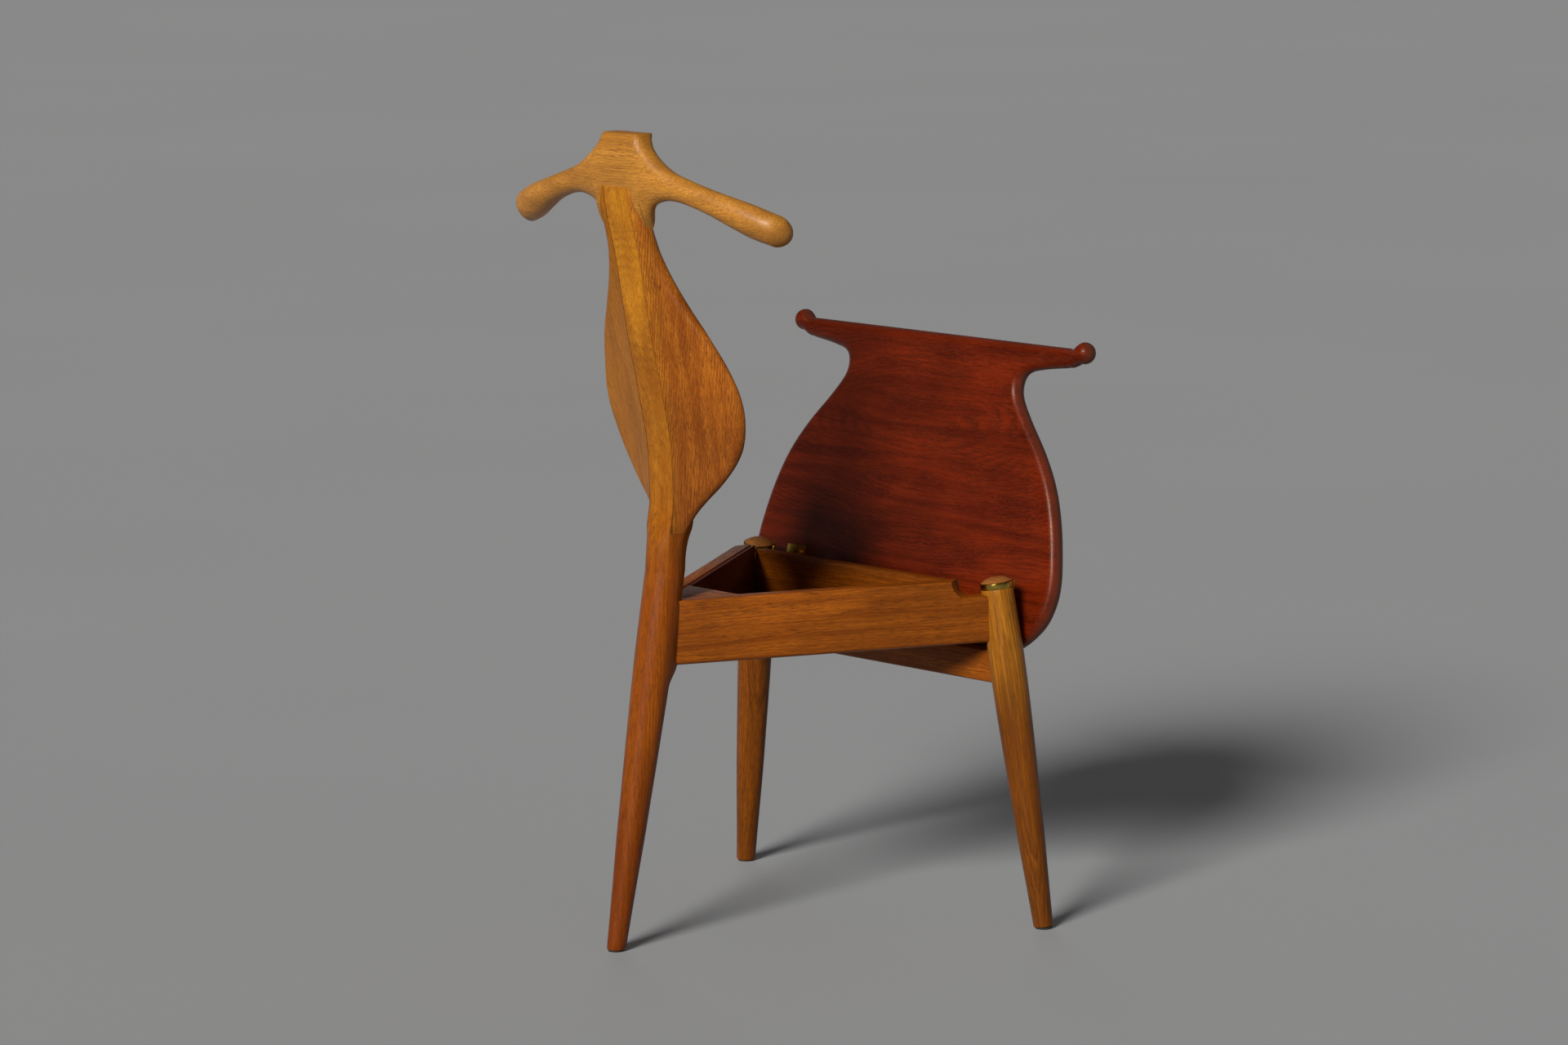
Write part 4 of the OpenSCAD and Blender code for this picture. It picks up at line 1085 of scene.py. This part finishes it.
def wood(name, grain, face, tones, ring=4.0, pith=(0.0, 0.09), figure=0.2, pores=0.6, wander=3.0,
         rough=0.3, offset=(0, 0, 0), taper=0.08, blotch=0.2, weave=0.6, fine=1.15, shine=0.25,
         glint=(1, 0.86, 0.78, 1), low=(), edge=None, gold=None, cheek=None, seam=None):
    """Oiled oak or teak: the oil sinks in, so the eye sees figure and open pores under a soft, warm sheen.

    grain is the way the fibres run and face the way the board's broad side looks. ring is the width
    of a year's growth in millimetres, and pith is where the heart of the tree lay, in metres. figure,
    weave, pores and blotch say how strong the rings, the bundles of fibre, the pores and the blotches
    are. fine makes fibres and pores thinner. low, edge, gold, cheek and seam are what the functions
    above are given; edge is the colour of a painted highlight on the rolled edge, and gold paints the
    middle of the back paler, partly as paler wood and partly as painted light. In teak the last tone,
    of the pores, is the lightest, because dust fills them.
    """
    material, tree = new_material(name)
    g = Vector(grain).normalized()
    b = (Vector(face) - g * Vector(face).dot(g)).normalized()
    turn = Matrix((g, b.cross(g), b)).to_euler()
    place = add(tree, "TexCoord")
    whole = place.outputs["Object"]
    here = add(tree, "Mapping", {"Vector": whole, "Rotation": turn, "Location": offset}).outputs[0]
    fibre = wandering_fibres(tree, here, wander)
    line = year_lines(tree, fibre, ring, pith, taper)
    flecks, hairs = pore_marks(tree, fibre, line, fine)

    # bundles of fibre, 2 mm wide and a hand long, on bands as wide as a finger
    thin = add(tree, "VectorMath", {0: fibre, 1: (9, 520 * fine, 520 * fine)}, operation="MULTIPLY")
    drawn = {"Vector": thin.outputs[0], "Scale": 1.0, "Detail": 3.5, "Roughness": 0.6}
    streaks = add(tree, "TexNoise", drawn)
    wide = add(tree, "VectorMath", {0: fibre, 1: (3.5, 75, 75)}, operation="MULTIPLY")
    bands = add(tree, "TexNoise", {"Vector": wide.outputs[0], "Scale": 1.0, "Detail": 2.0, "Roughness": 0.5})
    band = add(tree, "MapRange", {"Value": bands.outputs["Fac"], "From Min": 0.34, "From Max": 0.66})
    bound = {"Value": streaks.outputs["Fac"], "From Min": 0.4, "From Max": 0.66, "To Max": weave}
    bundle = add(tree, "MapRange", bound)
    fuzz = {"Value": hairs, "From Min": 0.5, "From Max": 0.7, "To Max": pores * 0.45}
    hair = add(tree, "MapRange", fuzz, **SOFT)
    deep = add(tree, "Math", {0: flecks, 1: pores}, operation="MULTIPLY")
    parts = (band.outputs[0], bundle.outputs[0], line, figure, hair.outputs[0], deep.outputs[0])
    tone = figured(tree, tones, *parts)

    # blotches of age and handling, a hand wide
    palm = add(tree, "VectorMath", {0: here, 1: (9, 12, 12)}, operation="MULTIPLY")
    patch = add(tree, "TexNoise", {"Vector": palm.outputs[0], "Scale": 1.0, "Detail": 3.0, "Roughness": 0.55})
    age = {"From Min": 0.3, "From Max": 0.7, "To Min": 1 - blotch, "To Max": 1 + blotch * 0.6}
    worn = add(tree, "MapRange", {"Value": patch.outputs["Fac"], **age})
    tone = add(tree, "VectorMath", {0: tone, "Scale": worn.outputs[0]}, operation="SCALE").outputs[0]

    split = add(tree, "SeparateXYZ", {0: whole})
    height = split.outputs["Z"]
    out = add(tree, "Math", {0: split.outputs["X"]}, operation="ABSOLUTE").outputs[0]
    # low: the tone made darker towards the bottom
    for reach in low:
        tone = darker_foot(tree, tone, height, *reach)
    # painted highlight: a greyish sheen painted on the rolled edge, wherever it turns from the face
    if edge:
        tone = painted_edge_sheen(tree, tone, place.outputs["Normal"], b, edge)
    # gold: the middle of the back made paler, partly as paler wood and partly as painted light
    if gold:
        tone = pale_wood_and_painted_light(tree, tone, out, height, *gold)
    if cheek:
        tone = feathered_cheek(tree, tone, out, height, *cheek)
    if seam:
        tone = glue_line(tree, tone, out, height, seam)

    gloss = add(tree, "MapRange", {"Value": flecks, "To Min": rough, "To Max": rough + 0.2})
    relief = add(tree, "Math", {0: streaks.outputs["Fac"], 1: 0.4}, operation="MULTIPLY")
    carved = add(tree, "Math", {0: relief.outputs[0], 1: flecks}, operation="SUBTRACT")
    bump = add(tree, "Bump", {"Strength": 0.3, "Distance": 0.0002, "Height": carved.outputs[0]})
    shader = add(tree, "BsdfPrincipled", {
        "Base Color": tone, "Roughness": gloss.outputs[0], "Normal": bump.outputs[0],
        "IOR": 1.5, "Specular IOR Level": shine, "Specular Tint": glint,
    })
    add(tree, "OutputMaterial", {"Surface": shader.outputs[0]})
    return material


def brass(name):
    """Turned and polished brass, gone a little green and dull with handling.

    The eye sees warm, drawn-out glints between soft dull spots, over the fine rings of the cut.
    """
    material, tree = new_material(name)
    place = add(tree, "TexCoord").outputs["Object"]
    cloud = add(tree, "TexNoise", {"Vector": place, "Scale": 160.0, "Detail": 4.0, "Roughness": 0.6})
    dull = add(tree, "MapRange", {"Value": cloud.outputs["Fac"], "From Min": 0.35, "From Max": 0.7})
    tone = add(tree, "Mix", {0: dull.outputs[0], 6: linear("#c9a84e"), 7: linear("#8c7430")}, **TINTS)
    gloss = add(tree, "MapRange", {"Value": dull.outputs[0], "To Min": 0.14, "To Max": 0.3})
    # marks of the cut, drawn 0.4 mm apart
    cut = {"Vector": place, "Scale": 780.0, "Distortion": 1.0, "Detail": 1.0}
    turn = add(tree, "TexWave", cut, bands_direction="Z")
    bump = add(tree, "Bump", {"Strength": 0.08, "Distance": 0.0001, "Height": turn.outputs["Fac"]})
    shader = add(tree, "BsdfPrincipled", {
        "Base Color": tone.outputs[2], "Metallic": 1.0, "Roughness": gloss.outputs[0],
        "Normal": bump.outputs[0],
    })
    add(tree, "OutputMaterial", {"Surface": shader.outputs[0]})
    return material


def felt(name):
    """Dark pressed felt under the feet: matt, with a fuzz of 0.5 mm fibres."""
    material, tree = new_material(name)
    place = add(tree, "TexCoord").outputs["Object"]
    fuzz = add(tree, "TexNoise", {"Vector": place, "Scale": 900.0, "Detail": 3.0, "Roughness": 0.7})
    tone = add(tree, "Mix", {0: fuzz.outputs["Fac"], 6: linear("#15130f"), 7: linear("#39352e")}, **TINTS)
    bump = add(tree, "Bump", {"Strength": 0.4, "Distance": 0.0004, "Height": fuzz.outputs["Fac"]})
    shader = add(tree, "BsdfPrincipled", {
        "Base Color": tone.outputs[2], "Roughness": 0.95, "Normal": bump.outputs[0], "Sheen Weight": 0.2,
    })
    add(tree, "OutputMaterial", {"Surface": shader.outputs[0]})
    return material


# ---- Making the chair ---------------------------------------------------------------

leg_way = {side: (side * LEG_RUN.x, LEG_RUN.y, LEG_RUN.z) for side in (1, -1)}
rail_way = {
    side: (-side * math.sin(RAIL_ANGLE), math.cos(RAIL_ANGLE), -math.sin(FALL)) for side in (1, -1)
}
rail_face = {side: (side * math.cos(RAIL_ANGLE), math.sin(RAIL_ANGLE), 0) for side in (1, -1)}
seat_face = (0, -math.sin(OPENED), math.cos(OPENED))
ACROSS, REARWARD, UP = (1, 0, 0), (0, 1, 0), (0, 0, 1)

# light, middle and dark wood, and the pores; left and right are the sitter's
HANGER = ("#e49a38", "#c8832e", "#98601e", "#6c4010")
STRIP = ("#cc801f", "#b86c18", "#92530e", "#6c3c09")
WING_LEFT = ("#e58726", "#c06819", "#874110", "#582707")
WING_RIGHT = ("#cf8016", "#b46a10", "#8a4e08", "#643804")
LEG_LEFT = ("#d48725", "#b26d16", "#844d0c", "#5c3207")
LEG_RIGHT = ("#9e540c", "#824406", "#5c2c04", "#3c1a02")
RAIL = ("#bd6515", "#974b0c", "#6e3306", "#502604")
BOX = ("#a8560c", "#844206", "#5c2903", "#3c1802")
CAP = ("#cc8640", "#ac6c32", "#804822", "#563016")
SEAT = ("#832606", "#611702", "#400c01", "#99431a")
LINING = ("#7e3826", "#602a1a", "#42180e", "#2a0d07")

PIECES = [
    # gold below is partly paler wood and partly painted light along the middle of the back
    (rear_leg_and_strip, (), ["rear_leg"], "frame", "oak_oiled",
     wood("oak_centre_strip", (0, -0.05, 1), REARWARD, STRIP, ring=3.5, pith=(0.0, 0.24), figure=0.35,
          pores=0.7, weave=0.65, blotch=0.08, seam=0.35, low=[(410, 570, "#d6b38a"), (60, 260, "#dccfd2")],
          cheek=(425, 480, "#ece6ee"), gold=(640, 860, -12, 40, (1.35, 1.5, 1.4)))),
    (wing, ("back_wing_panel_left", -1), ["back_wing_left"], "frame", "oak_oiled",
     wood("oak_wing_left", (-0.06, 0.05, 1), (0.2, 1, 0), WING_LEFT, ring=2.6, pith=(0.05, 0.12),
          figure=0.65, pores=0.65, weave=0.7, low=[(600, 700, "#d5d0d5")],
          gold=(580, 840, 26, 46, (1.04, 1.18, 1.06)), shine=0.3, seam=0.35, offset=(0.3, 0.1, 0))),
    (wing, ("back_wing_panel_right", 1), ["back_wing_right"], "frame", "oak_oiled",
     wood("oak_wing_right", (0.06, 0.05, 1), (-0.2, 1, 0), WING_RIGHT, ring=3, pith=(-0.06, 0.1),
          pores=0.5, weave=0.5, seam=0.35, offset=(0.9, 0, 0))),
    (coat_hanger, (), ["coat_hanger"], "frame", "oak_oiled",
     wood("oak_hanger", ACROSS, REARWARD, HANGER, ring=3, pith=(0.03, 0.16), figure=0.12, pores=0.7,
          wander=2, fine=1.3, rough=0.38, shine=0.55, glint=(1, 0.93, 0.88, 1), offset=(0.2, 0.6, 0))),
    (front_leg, ("front_leg_turned_left", -1), ["front_leg_left"], "frame", "oak_oiled",
     wood("oak_leg_left", leg_way[-1], REARWARD, LEG_LEFT, ring=3.2, pith=(0.004, 0.03), figure=0.6,
          pores=0.5, taper=0.03, wander=4, offset=(0.1, 0.4, 0), low=[(230, 345, "#b09b90")])),
    (front_leg, ("front_leg_turned_right", 1), ["front_leg_right"], "frame", "oak_oiled",
     wood("oak_leg_right", leg_way[1], REARWARD, LEG_RIGHT, ring=3.2, pith=(0.004, 0.024), figure=0.6,
          pores=0.8, taper=0.03, wander=4, offset=(0.7, 0.2, 0))),
    (side_rail, ("side_rail_board_left", -1), ["side_rail_left"], "frame", "oak_oiled",
     wood("oak_rail_left", rail_way[-1], rail_face[-1], RAIL, pith=(0.02, 0.14), pores=0.8,
          offset=(0.5, 0.3, 0))),
    (side_rail, ("side_rail_board_right", 1), ["side_rail_right"], "frame", "oak_oiled",
     wood("oak_rail_right", rail_way[1], rail_face[1], RAIL, pith=(-0.01, 0.12), pores=0.8,
          offset=(0.2, 0.8, 0))),
    (front_rail, (), ["front_rail"], "frame", "oak_oiled",
     wood("oak_front_rail", ACROSS, REARWARD, RAIL, pith=(0.01, 0.06), figure=0.4, pores=0.7,
          offset=(0.6, 0.1, 0.2))),
    (box_front, (), ["box_front"], "frame", "oak_oiled",
     wood("oak_box_front", ACROSS, REARWARD, BOX, pith=(0.03, 0.1), figure=0.25, pores=0.7,
          offset=(0.1, 0.9, 0.2))),
    (box_side, ("storage_box_side_left", -1), ["box_side_left"], "frame", "box_lining",
     wood("teak_lining_left", rail_way[-1], rail_face[-1], LINING, ring=6, figure=0.4, pores=0.5,
          offset=(0.1, 0.1, 0.5))),
    (box_side, ("storage_box_side_right", 1), ["box_side_right"], "frame", "box_lining",
     wood("teak_lining_right", rail_way[1], rail_face[1], LINING, ring=6, figure=0.4, pores=0.5,
          offset=(0.4, 0.1, 0.5))),
    (corner_block, ("corner_block_left_half", -1), ["corner_block_left"], "frame", "oak_oiled",
     wood("oak_block_left", ACROSS, UP, RAIL, pith=(0.02, 0.1), pores=0.7, offset=(0.3, 0.1, 0.1))),
    (corner_block, ("corner_block_right_half", 1), ["corner_block_right"], "frame", "oak_oiled",
     wood("oak_block_right", ACROSS, UP, RAIL, pith=(0.01, 0.12), pores=0.7, offset=(0.9, 0.1, 0.1))),
    (leg_cap, ("leg_cap_button_left", -1), ["leg_cap_left"], "frame", "oak_oiled",
     wood("oak_cap_left", ACROSS, UP, CAP, ring=2.5, pith=(0.02, 0.08), figure=0.4, pores=0.8,
          offset=(0.3, 0.3, 0.1))),
    (leg_cap, ("leg_cap_button_right", 1), ["leg_cap_right"], "frame", "oak_oiled",
     wood("oak_cap_right", ACROSS, UP, CAP, ring=2.5, pith=(0.01, 0.07), figure=0.4, pores=0.8,
          offset=(0.6, 0.3, 0.1))),
    # the seat's edge colour is a painted highlight, the lamp's sheen on its rolled edge and bar ends
    (seat_board, (), ["seat_board"], "seat", "teak_seat",
     wood("teak_seat", ACROSS, seat_face, SEAT, ring=4.5, pith=(0, 0.05), figure=0.5, pores=0.3,
          wander=9, taper=0.3, rough=0.28, offset=(0, -0.611, -0.1), blotch=0.35, weave=0.5, fine=1.3,
          glint=(1, 0.8, 0.66, 1), edge="#62382a")),
]

polished = brass("polished_brass")
RINGS = [("leg_ring_band_left", -1, "leg_ring_left"), ("leg_ring_band_right", 1, "leg_ring_right")]
for name, side, node in RINGS:
    band = leg_ring_band(name, side)
    band.data.materials.append(polished)
    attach(band, "frame")
    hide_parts(node)

for make, given, stands_for, body, slot, material in PIECES:
    piece = make(*given)
    piece.data.materials.clear()
    piece.data.materials.append(material)
    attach(piece, body)
    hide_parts(*stands_for)


def dress(names, material):
    """Gives CAD pieces that keep their own form a better material."""
    for name in names:
        slots = nodes[name].data.materials
        slots.clear()
        slots.append(material)


HINGES = ["hinge_plate_left", "hinge_plate_right", "hinge_pin_left", "hinge_pin_right", "hinge_screws"]
dress(HINGES, polished)
dress(["foot_pads"], felt("pressed_felt"))
dress(["box_floor"], wood("teak_box_bottom", ACROSS, UP, LINING, ring=7, pith=(0.02, 0.1), figure=0.4,
                          pores=0.5, offset=(0.2, 0.5, 0.1)))

# ---- Studio -------------------------------------------------------------------------

FLOOR_WIDTH = 160  # metres, far wider than the view
CAMERA_PLACE = (-4.5927, 4.3130, 1.4450)
CAMERA_AIM = (0, -0.0025, 0.475)
CAMERA_LENS = 123.92  # mm, on a sensor 36 mm wide


def studio_floor():
    """Plain pale floor paint: matt, with soft clouds of wear."""
    bpy.ops.object.select_all(action="DESELECT")
    bpy.ops.mesh.primitive_plane_add(size=FLOOR_WIDTH, location=(0, 0, 0))
    floor = bpy.context.object
    floor.name = "studio_floor"
    material, tree = new_material("pale_floor_paint")
    place = add(tree, "TexCoord").outputs["Object"]
    cloud = add(tree, "TexNoise", {"Vector": place, "Scale": 0.6, "Detail": 2.0})
    tone = add(tree, "Mix", {0: cloud.outputs["Fac"], 6: linear("#acadae"), 7: linear("#b1b2b3")}, **TINTS)
    # it looks pale, but throws little light back up under the chair
    ray = add(tree, "LightPath")
    straight = {0: ray.outputs["Is Camera Ray"], 1: ray.outputs["Is Glossy Ray"]}
    seen = add(tree, "Math", straight, operation="MAXIMUM")
    bent = {0: seen.outputs[0], 1: ray.outputs["Is Transmission Ray"]}
    through = add(tree, "Math", bent, operation="MAXIMUM")
    shown = add(tree, "Mix", {0: through.outputs[0], 6: linear("#8a8b8c"), 7: tone.outputs[2]}, **TINTS)
    paint = {"Base Color": shown.outputs[2], "Roughness": 0.9, "Specular IOR Level": 0.1}
    shader = add(tree, "BsdfPrincipled", paint)
    add(tree, "OutputMaterial", {"Surface": shader.outputs[0]})
    floor.data.materials.append(material)


def lamp(name, energy, width, toward):
    """A far soft lamp that looks width degrees wide and stands in the direction toward."""
    data = bpy.data.lights.new(name, "SUN")
    data.energy = energy
    data.angle = math.radians(width)
    holder = bpy.data.objects.new(name, data)
    bpy.context.scene.collection.objects.link(holder)
    holder.rotation_mode = "QUATERNION"
    holder.rotation_quaternion = Vector(toward).to_track_quat("Z", "Y")
    return holder


def studio_light():
    """A large soft lamp high on the left of the camera, in a dim room that is pale along its far walls."""
    key = lamp("key_lamp", 3.1, 18, (-0.315, 0.95, 0.56))
    key.data.color = (1, 0.985, 0.96)
    # a weak, low lamp behind the object lights the sides turned away from the camera, without a glare
    fill = lamp("fill_lamp", 1.1, 30, (0.8, -0.6, 0.1))
    fill.visible_glossy = False
    world = bpy.data.worlds.new("studio_room")
    bpy.context.scene.world = world
    world.use_nodes = True
    tree = world.node_tree
    tree.nodes.clear()
    way = add(tree, "TexCoord")
    split = add(tree, "SeparateXYZ", {0: way.outputs["Generated"]})
    height = {"Value": split.outputs["Z"], "From Min": 0.08, "From Max": 0.25, "To Min": 0.3, "To Max": 0.06}
    wall = add(tree, "MapRange", height, **SOFT)
    room = add(tree, "Background", {"Color": (0.97, 0.98, 1.0, 1), "Strength": wall.outputs[0]})
    add(tree, "OutputWorld", {"Surface": room.outputs[0]})


def studio_camera():
    data = bpy.data.cameras.new("camera")
    data.lens = CAMERA_LENS
    data.sensor_width = 36
    data.clip_start = 0.1
    data.clip_end = 200
    camera = bpy.data.objects.new("camera", data)
    bpy.context.scene.collection.objects.link(camera)
    camera.location = CAMERA_PLACE
    aim = Vector(CAMERA_AIM) - camera.location
    camera.rotation_mode = "QUATERNION"
    camera.rotation_quaternion = aim.to_track_quat("-Z", "Y")
    bpy.context.scene.camera = camera


studio_floor()
studio_light()
studio_camera()
bpy.context.scene.view_settings.view_transform = "Standard"
